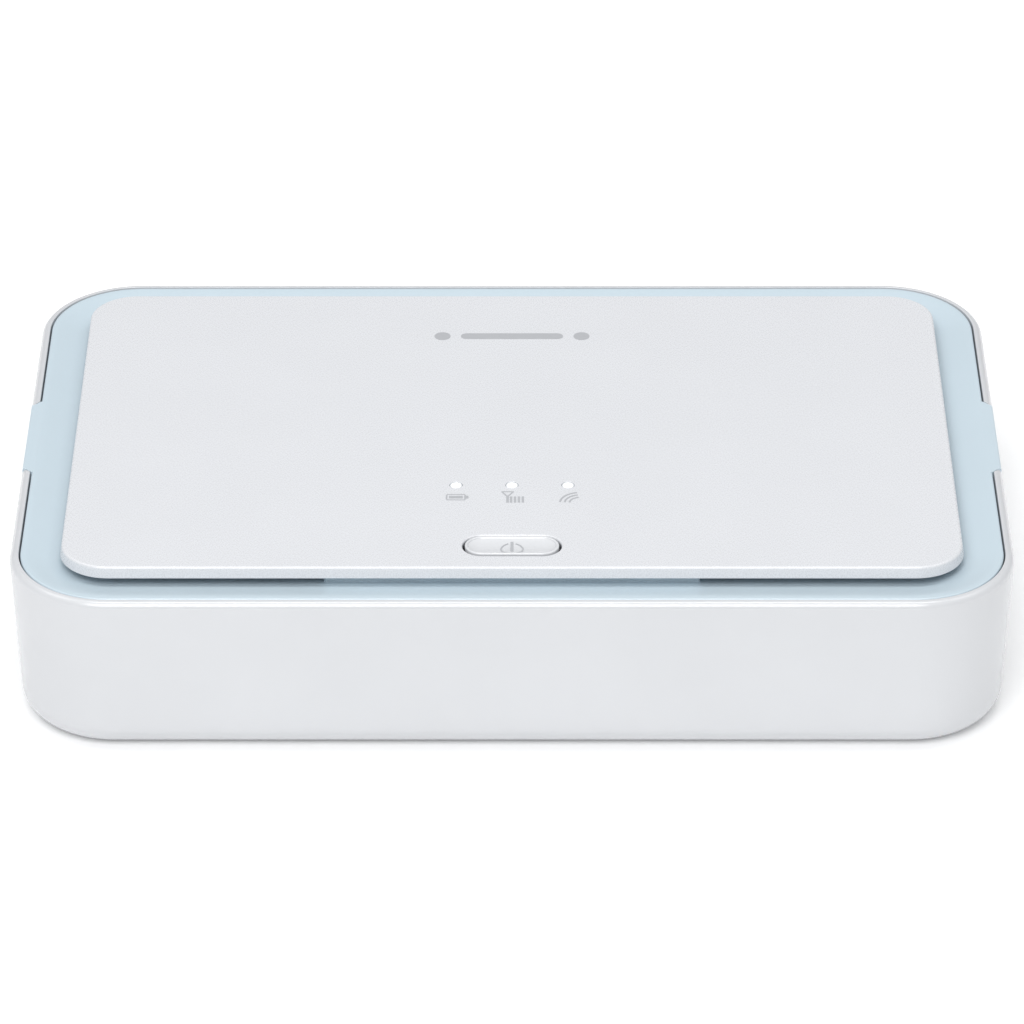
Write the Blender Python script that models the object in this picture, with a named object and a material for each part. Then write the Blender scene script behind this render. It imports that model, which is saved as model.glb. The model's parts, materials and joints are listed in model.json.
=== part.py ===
"""A pocket mobile hotspot, built as it comes apart on a bench.

A white cover with drafted walls holds the device by four snaps. The device is a light blue upper
housing with a dished border, a lower housing with the battery bay and the SIM well, the circuit
board between them, and a white top plate that floats over the dish. Sizes and places below are in
millimetres, with z = 0 under the cover, and the front, where the power button is, towards -Y.
"""

import math

import bmesh
import bpy
from mathutils import Vector

MM = 0.001

# Plan of the whole object: a rounded rectangle. An offset shrinks it evenly on all sides.
HALF_X, HALF_Y, CORNER = 50.0, 33.4, 10.3
CORNER_STEPS = 7

# Cover
RIM_Z, RIM_ROUND = 17.4, 0.3
DRAFT = 0.0425
COVER_WALL, COVER_FLOOR, BOTTOM_ROUND = 0.87, 1.2, 2.8

# Side notches in the cover, filled by the upper housing's tabs
NOTCH_HALF_Y, NOTCH_SLANT, NOTCH_Z = 6.65, 0.75, 8.1
TAB_GAP, TAB_Z, TAB_ROOT = 0.08, 9.2, 0.3

# Snap bumps inside the cover's long walls, and the channels that they run in
SNAP_X, SNAP_HALF, SNAP_Z, SNAP_RISE = 25.0, 4.0, 12.0, 0.8
SNAP_OFFSET, CHANNEL_OFFSET, CHANNEL_PLAY = 1.55, 1.85, 0.4

# Upper housing
REVEAL = 0.16
SKIRT_INSET, SKIRT_WALL, SPLIT_Z = COVER_WALL + REVEAL, 1.1, 9.0
BORDER_TOP, BORDER_EDGE, DISH_DROP = 17.36, 1.25, 1.2
DECK_OFFSET, DECK_UNDER = 8.5, 15.15
JOIN_Z = 15.6

# Top plate, the island and front block that carry it, and the tape
PLATE_HALF_X, PLATE_HALF_Y, PLATE_CORNER = 44.8, 28.37, 5.0
PLATE_UNDER, PLATE_TOP, PLATE_ROUND = 17.4, 18.6, 0.2
ISLAND_LOW, ISLAND_HIGH, ISLAND_TOP = (-33.0, -14.5), (33.0, 21.0), 17.15
BLOCK_LOW, BLOCK_HIGH, BLOCK_TOP = (-18.65, -27.75), (18.65, -20.5), 17.34
TAPE_LOW, TAPE_HIGH = (-32.0, -9.5, 17.2), (32.0, 20.0, 17.35)

# Lower housing
LOWER_INSET, LOWER_WALL = SKIRT_INSET + 0.04, 1.0
LOWER_Z, LOWER_FLOOR, LOWER_TOP, LOWER_ROUND = 1.5, 2.5, 8.9, 1.7

# Circuit board. Parts on it stand a hair above, and parts under it hang a hair below.
BOARD_Z, BOARD_TOP, BOARD_OFFSET = 9.4, 10.4, 3.0
SEAT, UNDERSEAT = BOARD_TOP + 0.05, BOARD_Z - 0.05
SHIELD_TOP, SHIELD_SHEET = 12.25, 0.25
SHIELDS = {
    "baseband_shield": ((-40.0, -18.0), (-10.0, 16.0)),
    "radio_shield": ((12.0, -2.0), (40.0, 20.0)),
}

# Power button: a key in the top plate's slot, and its switch on the board
BUTTON_Y = -24.1
SLOT_HALF, CAP_HALF, FLANGE_HALF, POCKET_HALF = (4.95, 1.97), (4.70, 1.75), (5.6, 2.5), (6.0, 2.8)
FLANGE_Z, FLANGE_TOP, CAP_TOP, POCKET_Z = 16.6, 17.25, 18.74, 16.2
STEM_RADIUS, STEM_WAY = 1.5, 1.9
SWITCH_HALF, SWITCH_BODY_TOP, SWITCH_TOP = 2.25, 12.1, 12.7

# Reset switch behind the pin hole in the right tab
PIN_Z, PIN_RADIUS = 11.6, 0.8
RESET_LOW, RESET_HIGH = (43.6, -2.0, SEAT), (46.6, 2.0, 12.85)

# Status lights
LIGHTS_X, LIGHTS_Y = (-5.66, 0.0, 5.66), -12.1
LIGHT_HOLE, LIGHT_PIPE, LIGHT_WAY = 0.67, 0.59, 0.75
BRIDGE_Z, BRIDGE_TOP, PIPE_Z, PIPE_TOP = 14.2, 15.0, 11.3, 18.7

# Micro-USB port in the left tab: half widths, and the heights of the shell's slanted sides
USB_MOUTH, USB_BACK, USB_SHEET = -48.6, -43.6, 0.25
USB_HALF, USB_FOOT, USB_SLANT, USB_HEIGHT = 3.75, 3.0, 0.8, 2.5
USB_WAY_LOW, USB_WAY_HIGH = (-52.0, -4.1, 10.15), (-46.0, 4.1, 13.25)

# Battery, its bay, and the contacts at the bay's right end
BAY_LOW, BAY_HIGH, BAY_TOP, BAY_ROOF = (-44.4, -24.4), (14.4, 24.4), 7.4, 8.4
CELL_LOW, CELL_HIGH, CELL_ROUND, BATTERY_END = (-44.0, -24.0, 1.75), (10.9, 24.0, 6.95), 1.4, 14.0
THUMB_X, THUMB_HALF, THUMB_DEPTH, THUMB_TOP = -15.5, 6.0, 2.0, 4.5
CONTACTS_Y, CONTACT_Z, CONTACT_TIP, CONTACT_ROOT = (-4.0, 0.0, 4.0), 5.0, 14.1, 15.62
CONTACT_RISE, CONTACT_SHEET, CONTACT_HALF = 1.6, 0.2, 0.8
CONNECTOR_LOW, CONNECTOR_HIGH = (15.7, -5.6, 3.0), (19.5, 5.6, UNDERSEAT)

# SIM card, its socket under the board, and the well that it is reached through
WELL_LOW, WELL_HIGH, WELL_TOP = (22.0, -23.0), (42.5, 24.6), 8.7
SIM_LOW, SIM_HIGH, SIM_CORNER = (24.5, -1.0, 8.05), (39.5, 24.0, 8.81), 3.0
SOCKET_LOW, SOCKET_HIGH, SOCKET_SHEET = (23.6, 7.0, 7.7), (40.4, 24.3, UNDERSEAT), 0.2
SOCKET_BASE_Z = 8.98

# Screws that close the two housings on the board
SCREWS = ((-36.0, -27.9), (36.0, -27.9), (36.0, 27.9), (-36.0, 27.9))
HEAD_RADIUS, HEAD_Z, HEAD_TOP, SHANK_RADIUS, SHANK_TOP = 1.6, 5.75, 6.9, 0.75, 14.3
CROSS_LENGTH, CROSS_WIDTH, CROSS_DEPTH = 1.8, 0.34, 0.6
BOSS_RADIUS, TOWER_RADIUS = 2.1, 2.9

# Antenna traces under the deck, and the spring clips that feed them
TRACE_Z, TRACE_TOP = 14.7, 14.88
CLIPS = ((11.0, 27.0), (-11.0, -24.0), (41.5, 7.0))

WHITE, BLUE, INNER = "cover_white", "border_blue", "inner_white"
GLOSS, CLEAR, BOARD = "button_gloss", "light_clear", "board_green"
CAN, BLACK, GOLD = "shield_metal", "part_black", "contact_gold"
STEEL, WRAP, PAPER = "screw_steel", "battery_wrap", "paper_white"
TAPE, CREAM = "tape_grey", "plastic_cream"

# Colour, roughness and metallic value of each finish
FINISHES = {
    WHITE: ((0.80, 0.81, 0.83), 0.45, 0.0),
    BLUE: ((0.62, 0.76, 0.83), 0.40, 0.0),
    INNER: ((0.74, 0.75, 0.76), 0.55, 0.0),
    GLOSS: ((0.82, 0.83, 0.85), 0.15, 0.0),
    CLEAR: ((0.95, 0.96, 0.98), 0.10, 0.0),
    BOARD: ((0.03, 0.22, 0.12), 0.40, 0.0),
    CAN: ((0.70, 0.70, 0.68), 0.35, 1.0),
    BLACK: ((0.03, 0.03, 0.03), 0.45, 0.0),
    GOLD: ((0.83, 0.62, 0.25), 0.30, 1.0),
    STEEL: ((0.55, 0.55, 0.56), 0.30, 1.0),
    WRAP: ((0.13, 0.14, 0.16), 0.50, 0.0),
    PAPER: ((0.86, 0.86, 0.84), 0.70, 0.0),
    TAPE: ((0.25, 0.26, 0.27), 0.85, 0.0),
    CREAM: ((0.78, 0.74, 0.64), 0.55, 0.0),
}

# Chips and other small parts on the board: centre, length and width, height, finish
CHIPS = {
    "baseband_chip": ((-28.0, 3.0), (14.0, 14.0), 1.1, BLACK),
    "memory_chip": ((-16.0, 4.0), (8.0, 11.0), 0.9, BLACK),
    "power_chip": ((-30.0, -12.0), (6.0, 6.0), 0.8, BLACK),
    "radio_chip": ((20.0, 10.0), (8.0, 8.0), 0.9, BLACK),
    "amplifier_chip": ((33.0, 12.0), (5.0, 4.0), 0.8, BLACK),
    "wifi_chip": ((22.0, -13.0), (7.0, 7.0), 0.9, BLACK),
    "charge_inductor": ((-38.0, -22.5), (4.0, 4.0), 2.0, TAPE),
    "clock_crystal": ((5.0, 10.0), (3.2, 2.5), 0.8, CAN),
}


def clear_scene():
    for thing in list(bpy.data.objects):
        bpy.data.objects.remove(thing)


def material(finish):
    """The Principled material of that finish, made on first use."""
    found = bpy.data.materials.get(finish)
    if found:
        return found
    colour, roughness, metallic = FINISHES[finish]
    made = bpy.data.materials.new(finish)
    made.use_nodes = True
    shader = made.node_tree.nodes["Principled BSDF"]
    shader.inputs["Base Color"].default_value = (*colour, 1.0)
    shader.inputs["Roughness"].default_value = roughness
    shader.inputs["Metallic"].default_value = metallic
    return made


def new_object(name, shape, finish):
    """Makes an object of a bmesh drawn in millimetres, with its origin at the middle of its box."""
    bmesh.ops.recalc_face_normals(shape, faces=shape.faces)
    bmesh.ops.scale(shape, vec=(MM, MM, MM), verts=shape.verts)
    axes = list(zip(*(vert.co for vert in shape.verts)))
    middle = Vector([(min(values) + max(values)) / 2 for values in axes])
    bmesh.ops.translate(shape, vec=-middle, verts=shape.verts)
    mesh = bpy.data.meshes.new(name)
    shape.to_mesh(mesh)
    shape.free()
    mesh.materials.append(material(finish))
    mesh.shade_smooth()
    mesh.set_sharp_from_angle(angle=math.radians(30))
    made = bpy.data.objects.new(name, mesh)
    made.location = middle
    bpy.context.scene.collection.objects.link(made)
    return made


def attach(piece, carrier):
    """Parents a piece to an unturned object and leaves the piece where it stands."""
    piece.parent = carrier
    piece.location -= carrier.location


def carry(name, point, pieces):
    """Parents pieces that move together to one empty, which stands on their joint's axis."""
    empty = bpy.data.objects.new(name, None)
    empty.location = Vector(point) * MM
    bpy.context.scene.collection.objects.link(empty)
    for piece in pieces:
        attach(piece, empty)


def loft(name, rings, finish):
    """Skins rings that have the same number of points, and closes both ends."""
    shape = bmesh.new()
    loops = [[shape.verts.new(point) for point in ring] for ring in rings]
    for low, high in zip(loops, loops[1:]):
        for i in range(len(low)):
            j = (i + 1) % len(low)
            shape.faces.new((low[i], low[j], high[j], high[i]))
    shape.faces.new(reversed(loops[0]))
    shape.faces.new(loops[-1])
    return new_object(name, shape, finish)


def rounded(half_x, half_y, radius, steps=CORNER_STEPS):
    """Outline of a rounded rectangle about the origin, anticlockwise."""
    corners = ((1, 1, 0), (-1, 1, 90), (-1, -1, 180), (1, -1, 270))
    points = []
    for side_x, side_y, start in corners:
        for i in range(steps + 1):
            angle = math.radians(start + 90 * i / steps)
            x = side_x * (half_x - radius) + radius * math.cos(angle)
            y = side_y * (half_y - radius) + radius * math.sin(angle)
            points.append((x, y))
    return points


def plan_ring(offset, z):
    """The object's plan, shrunk by offset, at height z."""
    outline = rounded(HALF_X - offset, HALF_Y - offset, CORNER - offset)
    return [(x, y, z) for x, y in outline]


def wall_offset(z, inset):
    """Offset at height z of a drafted wall that stands inset from the cover's outside."""
    return inset + DRAFT * (RIM_Z - z)


def prism(name, outline, low, high, finish=WHITE, axis="Z"):
    """Extrudes a closed outline along an axis. The outline is in the other two, in X, Y, Z order."""
    place = {
        "X": lambda u, v, w: (w, u, v),
        "Y": lambda u, v, w: (u, w, v),
        "Z": lambda u, v, w: (u, v, w),
    }[axis]
    rings = [[place(u, v, w) for u, v in outline] for w in (low, high)]
    return loft(name, rings, finish)


def box(name, low, high, finish=WHITE):
    outline = [(low[0], low[1]), (high[0], low[1]), (high[0], high[1]), (low[0], high[1])]
    return prism(name, outline, low[2], high[2], finish)


def circle(radius, centre=(0.0, 0.0), sides=12):
    angles = [2 * math.pi * i / sides for i in range(sides)]
    return [(centre[0] + radius * math.cos(a), centre[1] + radius * math.sin(a)) for a in angles]


def capsule(half, centre_y, steps=6):
    """Outline with straight long sides and round ends, along X."""
    radius = half[1] - 0.001
    return [(x, y + centre_y) for x, y in rounded(*half, radius, steps)]


def combine(target, tool, operation):
    """Cuts or joins tool with target by a Boolean, and keeps tool out of the model as a guide."""
    tool.hide_render = True
    tool.display_type = "WIRE"
    attach(tool, target)
    modifier = target.modifiers.new(f"{operation.lower()} {tool.name}", "BOOLEAN")
    modifier.operation = operation
    modifier.solver = "EXACT"
    modifier.object = tool


def cut(target, tool):
    combine(target, tool, "DIFFERENCE")


def join(target, tool):
    combine(target, tool, "UNION")


def notch_outline(side, gap, outer_x, inner_x):
    """Plan of a side notch, or of the tab in it when gap is positive. The wall ends slant inwards."""
    narrow_x = HALF_X - 0.2 - gap * math.tan(math.radians(22.5))
    narrow_y = NOTCH_HALF_Y - gap
    wide_x, wide_y = narrow_x - NOTCH_SLANT, narrow_y + NOTCH_SLANT
    half = [(outer_x, narrow_y), (narrow_x, narrow_y), (wide_x, wide_y), (inner_x, wide_y)]
    upper = [(side * x, y) for x, y in half]
    return upper + [(x, -y) for x, y in reversed(upper)]


def back_cover():
    """The white cover: drafted walls, a rounded foot, snap bumps and two side notches."""
    foot = wall_offset(BOTTOM_ROUND, 0.0) + BOTTOM_ROUND
    rings = []
    for i in range(7):
        turn = math.radians(15 * i)
        ring = plan_ring(foot - BOTTOM_ROUND * math.sin(turn), BOTTOM_ROUND * (1 - math.cos(turn)))
        rings.append(ring)
    for i in range(3):
        turn = math.radians(45 * i)
        ring = plan_ring(RIM_ROUND * (1 - math.cos(turn)), RIM_Z - RIM_ROUND * (1 - math.sin(turn)))
        rings.append(ring)
    rings.append(plan_ring(COVER_WALL, RIM_Z))
    inner_round = BOTTOM_ROUND - COVER_WALL
    low = COVER_FLOOR + inner_round
    wall = wall_offset(low, COVER_WALL)
    for i in range(4):
        turn = math.radians(30 * i)
        ring = plan_ring(wall + inner_round * (1 - math.cos(turn)), low - inner_round * math.sin(turn))
        rings.append(ring)
    cover = loft("back_cover", rings, WHITE)
    for side_x in (-1, 1):
        for side_y in (-1, 1):
            join(cover, snap_bump(side_x, side_y))
    for side in (-1, 1):
        outline = notch_outline(side, 0.0, HALF_X + 2, HALF_X - 4)
        cut(cover, prism(f"notch {side}", outline, NOTCH_Z, RIM_Z + 2))


def snap_bump(side_x, side_y):
    """Low ridge on the inside of a long wall, rooted 0.4 mm deep in it."""
    wall_y = HALF_Y - wall_offset(SNAP_Z, COVER_WALL) + 0.4
    tip_y = HALF_Y - SNAP_OFFSET
    half = [(wall_y, -SNAP_RISE), (tip_y, -0.15), (tip_y, 0.15), (wall_y, SNAP_RISE)]
    outline = [(side_y * y, SNAP_Z + z) for y, z in half]
    middle = side_x * SNAP_X
    return prism(f"bump {side_x} {side_y}", outline, middle - SNAP_HALF, middle + SNAP_HALF, axis="X")


def cut_channels(target, low, high):
    """Channels for the snap bumps, open towards the foot."""
    half_x = SNAP_HALF + CHANNEL_PLAY
    for side_x in (-1, 1):
        for side_y in (-1, 1):
            middle = side_x * SNAP_X
            near, far = sorted((side_y * (HALF_Y - CHANNEL_OFFSET), side_y * (HALF_Y + 2)))
            name = f"channel {target.name} {side_x} {side_y}"
            cut(target, box(name, (middle - half_x, near, low), (middle + half_x, far, high)))


def dish_height(offset):
    """Height of the blue border: a shallow dish that flattens towards the deck."""
    share = (offset - BORDER_EDGE) / (DECK_OFFSET - BORDER_EDGE)
    return BORDER_TOP - DISH_DROP * (1 - (1 - share) ** 2)


def upper_housing():
    """The blue housing: dished border, deck, skirt, side tabs, plate supports and screw bosses."""
    rings = []
    for i in range(6):
        offset = DECK_OFFSET + (BORDER_EDGE - DECK_OFFSET) * i / 5
        rings.append(plan_ring(offset, dish_height(offset)))
    inside = SKIRT_INSET + SKIRT_WALL
    rings.append(plan_ring(SKIRT_INSET + 0.06, BORDER_TOP - 0.05))
    rings.append(plan_ring(SKIRT_INSET, BORDER_TOP - 0.16))
    rings.append(plan_ring(wall_offset(SPLIT_Z, SKIRT_INSET), SPLIT_Z))
    rings.append(plan_ring(wall_offset(SPLIT_Z, inside), SPLIT_Z))
    rings.append(plan_ring(wall_offset(DECK_UNDER, inside), DECK_UNDER - 0.75))
    rings.append(plan_ring(inside + 1.8, DECK_UNDER - 0.15))
    rings.append(plan_ring(DECK_OFFSET, DECK_UNDER))
    housing = loft("upper_housing", rings, BLUE)
    for side in (-1, 1):
        join(housing, side_tab(side))
    join(housing, box("island", (*ISLAND_LOW, JOIN_Z), (*ISLAND_HIGH, ISLAND_TOP)))
    join(housing, box("front block", (*BLOCK_LOW, JOIN_Z), (*BLOCK_HIGH, BLOCK_TOP)))
    for i, centre in enumerate(SCREWS):
        join(housing, prism(f"boss {i}", circle(BOSS_RADIUS, centre), BOARD_TOP + 0.1, JOIN_Z))
        cut(housing, prism(f"pilot {i}", circle(SHANK_RADIUS + 0.1, centre), BOARD_TOP, 14.9))
    for x in LIGHTS_X:
        cut(housing, prism(f"light way {x}", circle(LIGHT_WAY, (x, LIGHTS_Y)), 14.0, RIM_Z))
    cut(housing, prism("cap pocket", capsule(POCKET_HALF, BUTTON_Y), POCKET_Z, RIM_Z + 1))
    cut(housing, prism("stem way", circle(STEM_WAY, (0.0, BUTTON_Y)), 14.0, POCKET_Z + 1))
    cut(housing, box("usb way", USB_WAY_LOW, USB_WAY_HIGH))
    cut(housing, prism("pin way", circle(PIN_RADIUS, (0.0, PIN_Z)), RESET_HIGH[0], HALF_X + 2, axis="X"))
    cut_channels(housing, SPLIT_Z - 1, SNAP_Z + SNAP_RISE + CHANNEL_PLAY)


def side_tab(side):
    """Block that fills a side notch, rooted in the skirt and level with the cover's drafted wall."""
    rings = []
    for z, shrink in ((TAB_Z, 0.0), (RIM_Z - 0.35, 0.0), (RIM_Z - 0.13, 0.08), (BORDER_TOP, 0.3)):
        face_x = HALF_X - wall_offset(z, 0.0) - shrink
        root_x = HALF_X - wall_offset(z, SKIRT_INSET + TAB_ROOT)
        outline = notch_outline(side, TAB_GAP, HALF_X, root_x)
        rings.append([(side * min(side * x, face_x), y, z) for x, y in outline])
    return loft(f"tab {side}", rings, BLUE)


def top_plate():
    """The floating white plate, with the button's slot and three light holes."""
    rings = []
    edge = ((0.0, PLATE_UNDER), (0.0, PLATE_TOP - PLATE_ROUND), (0.06, PLATE_TOP - 0.06), (0.2, PLATE_TOP))
    for inset, z in edge:
        outline = rounded(PLATE_HALF_X - inset, PLATE_HALF_Y - inset, PLATE_CORNER - inset)
        rings.append([(x, y, z) for x, y in outline])
    plate = loft("top_plate", rings, WHITE)
    below, above = PLATE_UNDER - 1, PLATE_TOP + 1
    cut(plate, prism("cap slot", capsule(SLOT_HALF, BUTTON_Y, 8), below, above))
    for x in LIGHTS_X:
        cut(plate, prism(f"light hole {x}", circle(LIGHT_HOLE, (x, LIGHTS_Y), 16), below, above))
    box("plate_tape", TAPE_LOW, TAPE_HIGH, TAPE)


def power_button():
    """Key with a domed cap, a flange that the plate keeps in, and a stem down to its switch."""
    cap_x, cap_y = CAP_HALF
    sections = (
        (FLANGE_HALF, FLANGE_Z),
        (FLANGE_HALF, FLANGE_TOP),
        (CAP_HALF, FLANGE_TOP),
        (CAP_HALF, CAP_TOP - 0.29),
        ((cap_x - 0.08, cap_y - 0.08), CAP_TOP - 0.18),
        ((cap_x - 0.45, cap_y - 0.45), CAP_TOP - 0.06),
        ((cap_x - 1.10, cap_y - 1.10), CAP_TOP),
    )
    rings = [[(x, y, z) for x, y in capsule(half, BUTTON_Y)] for half, z in sections]
    button = loft("power_button", rings, GLOSS)
    stem = circle(STEM_RADIUS, (0.0, BUTTON_Y), 16)
    join(button, prism("stem", stem, SWITCH_TOP + 0.05, FLANGE_Z + 0.3))


def power_switch():
    """Tactile switch: a base on the board and the plunger that the button's stem presses."""
    centre = (0.0, BUTTON_Y)
    low = (-SWITCH_HALF, BUTTON_Y - SWITCH_HALF, SEAT)
    high = (SWITCH_HALF, BUTTON_Y + SWITCH_HALF, SWITCH_BODY_TOP)
    base = box("power_switch_base", low, high, BLACK)
    cut(base, prism("plunger well", circle(1.1, centre), 11.0, SWITCH_TOP))
    prism("power_switch_plunger", circle(0.9, centre), 11.4, SWITCH_TOP, CREAM)


def reset_switch():
    """Side-pressed switch whose plunger faces the pin hole."""
    base = box("reset_switch_base", RESET_LOW, RESET_HIGH, BLACK)
    centre, mouth = (0.0, PIN_Z), RESET_HIGH[0]
    cut(base, prism("reset well", circle(0.7, centre), mouth - 1.6, mouth + 1, axis="X"))
    prism("reset_switch_plunger", circle(0.55, centre), mouth - 1.2, mouth + 0.7, CREAM, axis="X")


def status_lights():
    """Clear moulding with three light pipes on one bridge under the deck, and a light under each."""
    ends_x = LIGHTS_X[-1] + 2.5
    low, high = (-ends_x, LIGHTS_Y - 1.3, BRIDGE_Z), (ends_x, LIGHTS_Y + 1.3, BRIDGE_TOP)
    guide = box("light_guide", low, high, CLEAR)
    for i, x in enumerate(LIGHTS_X):
        join(guide, prism(f"pipe {i}", circle(LIGHT_PIPE, (x, LIGHTS_Y)), PIPE_Z, PIPE_TOP))
        low, high = (x - 0.8, LIGHTS_Y - 0.4, SEAT), (x + 0.8, LIGHTS_Y + 0.4, PIPE_Z - 0.25)
        box(f"status_led_{i + 1}", low, high, CREAM)


def lower_housing():
    """Inner tray with the battery bay, the SIM well and four screw towers."""
    foot = wall_offset(LOWER_Z + LOWER_ROUND, LOWER_INSET) + LOWER_ROUND
    rings = []
    for i in range(4):
        turn = math.radians(30 * i)
        height = LOWER_Z + LOWER_ROUND * (1 - math.cos(turn))
        rings.append(plan_ring(foot - LOWER_ROUND * math.sin(turn), height))
    inside = LOWER_INSET + LOWER_WALL
    rings.append(plan_ring(wall_offset(LOWER_TOP, LOWER_INSET), LOWER_TOP))
    rings.append(plan_ring(wall_offset(LOWER_TOP, inside), LOWER_TOP))
    rings.append(plan_ring(wall_offset(LOWER_FLOOR + 0.7, inside), LOWER_FLOOR + 0.7))
    rings.append(plan_ring(foot, LOWER_FLOOR))
    tray = loft("lower_housing", rings, INNER)
    join(tray, walls_around("bay walls", BAY_LOW, BAY_HIGH, BAY_ROOF))
    join(tray, walls_around("well walls", WELL_LOW, WELL_HIGH, WELL_TOP))
    join_thumb_recess(tray)
    for i, centre in enumerate(SCREWS):
        join(tray, prism(f"tower {i}", circle(TOWER_RADIUS, centre), 2.0, UNDERSEAT - 0.05))
        cut(tray, prism(f"head way {i}", circle(HEAD_RADIUS + 0.35, centre), 0.0, HEAD_TOP + 0.1))
        cut(tray, prism(f"shank way {i}", circle(SHANK_RADIUS + 0.2, centre), HEAD_TOP, BOARD_TOP))
    cut(tray, box("bay", (*BAY_LOW, 0.0), (*BAY_HIGH, BAY_TOP)))
    cut(tray, box("contact way", (BAY_HIGH[0] - 1, -6.2, 2.7), (BAY_HIGH[0] + 2, 6.2, BAY_TOP - 0.2)))
    cut(tray, box("well", (*WELL_LOW, 0.0), (*WELL_HIGH, BOARD_TOP)))
    cut_channels(tray, LOWER_FLOOR + 0.5, LOWER_TOP + 1)


def walls_around(name, low, high, top, wall=1.0):
    """Solid block around a rectangle, rooted in the tray's floor, for the rectangle to be cut from."""
    return box(name, (low[0] - wall, low[1] - wall, 2.0), (high[0] + wall, high[1] + wall, top))


def join_thumb_recess(tray):
    """Recess at the bay's front edge, where a thumb nail lifts the battery."""
    edge_y = BAY_LOW[1]
    low = (THUMB_X - THUMB_HALF - 1, edge_y - THUMB_DEPTH - 1, 2.0)
    high = (THUMB_X + THUMB_HALF + 1, edge_y - 0.5, THUMB_TOP + 1)
    join(tray, box("thumb walls", low, high))
    low = (THUMB_X - THUMB_HALF, edge_y - THUMB_DEPTH, 0.0)
    high = (THUMB_X + THUMB_HALF, edge_y + 1, THUMB_TOP)
    cut(tray, box("thumb way", low, high))


def main_board():
    """Circuit board with its screw holes, shield cans, chips and crystal."""
    rings = [plan_ring(BOARD_OFFSET, BOARD_Z), plan_ring(BOARD_OFFSET, BOARD_TOP)]
    board = loft("main_board", rings, BOARD)
    for i, centre in enumerate(SCREWS):
        cut(board, prism(f"board hole {i}", circle(SHANK_RADIUS + 0.4, centre), BOARD_Z - 1, BOARD_TOP + 1))
    for name, (low, high) in SHIELDS.items():
        can = box(name, (*low, SEAT), (*high, SHIELD_TOP), CAN)
        low = [low[0] + SHIELD_SHEET, low[1] + SHIELD_SHEET, SEAT - 1]
        high = [high[0] - SHIELD_SHEET, high[1] - SHIELD_SHEET, SHIELD_TOP - SHIELD_SHEET]
        cut(can, box(f"inside {name}", low, high))
    for name, (centre, size, height, finish) in CHIPS.items():
        low = (centre[0] - size[0] / 2, centre[1] - size[1] / 2, SEAT)
        high = (centre[0] + size[0] / 2, centre[1] + size[1] / 2, SEAT + height)
        box(name, low, high, finish)


def usb_port():
    """Micro-USB receptacle: a sheet-metal shell with slanted lower corners, and its tongue."""
    shell = prism("usb_shell", usb_outline(0.0), USB_MOUTH, USB_BACK, CAN, axis="X")
    mouth = usb_outline(USB_SHEET)
    cut(shell, prism("usb mouth", mouth, USB_MOUTH - 1, USB_BACK - 0.3, axis="X"))
    box("usb_tongue", (USB_MOUTH + 0.6, -1.9, SEAT + 1.35), (USB_BACK - 0.35, 1.9, SEAT + 1.95), BLACK)


def usb_outline(inset):
    """Section of the receptacle across X, shrunk by inset."""
    half = [
        (USB_FOOT - 0.8 * inset, SEAT + inset),
        (USB_HALF - inset, SEAT + USB_SLANT + 0.4 * inset),
        (USB_HALF - inset, SEAT + USB_HEIGHT - inset),
    ]
    return half + [(-y, z) for y, z in reversed(half)]


def sim_parts():
    """SIM card between the socket's plastic base, under the board, and its metal shell."""
    low, high = SIM_LOW, SIM_HIGH
    clipped = [(high[0], high[1] - SIM_CORNER), (high[0] - SIM_CORNER, high[1])]
    outline = [(low[0], low[1]), (high[0], low[1]), *clipped, (low[0], high[1])]
    prism("sim_card", outline, low[2], high[2], PAPER)
    sheet = SOCKET_SHEET
    shell = box("sim_socket_shell", SOCKET_LOW, SOCKET_HIGH, CAN)
    way_low = (SOCKET_LOW[0] + sheet, SOCKET_LOW[1] - 2, SOCKET_LOW[2] + sheet)
    cut(shell, box("sim way", way_low, (SOCKET_HIGH[0] - sheet, SOCKET_HIGH[1] - sheet, BOARD_TOP)))
    window_low, window_high = (27.5, 11.0, SOCKET_LOW[2] - 1), (36.5, 21.0, SOCKET_LOW[2] + 0.5)
    cut(shell, box("sim window", window_low, window_high))
    base_low = (SOCKET_LOW[0] + 0.5, SOCKET_LOW[1], SOCKET_BASE_Z)
    box("sim_socket_base", base_low, (SOCKET_HIGH[0] - 0.5, SOCKET_HIGH[1] - 0.5, UNDERSEAT), BLACK)


def battery():
    """Prismatic cell with round long edges, and the end cap that carries its three terminals."""
    low, high = CELL_LOW, CELL_HIGH
    half_y, half_z = high[1], (high[2] - low[2]) / 2
    outline = [(y, z + low[2] + half_z) for y, z in rounded(half_y, half_z, CELL_ROUND, 3)]
    cell = prism("battery_cell", outline, low[0], high[0], WRAP, axis="X")
    cap = prism("battery_end_cap", outline, high[0] + 0.05, BATTERY_END, BLACK, axis="X")
    pieces = [cell, cap]
    for i, y in enumerate(CONTACTS_Y):
        seat_low, seat_high = (BATTERY_END - 0.3, y - 1.3, 3.9), (BATTERY_END + 1, y + 1.3, 6.1)
        cut(cap, box(f"terminal seat {i}", seat_low, seat_high))
        low, high = (BATTERY_END - 0.27, y - 1.2, 4.0), (BATTERY_END - 0.1, y + 1.2, 6.0)
        pieces.append(box(f"battery_terminal_{i + 1}", low, high, GOLD))
    carry("battery", cell.location / MM, pieces)


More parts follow.
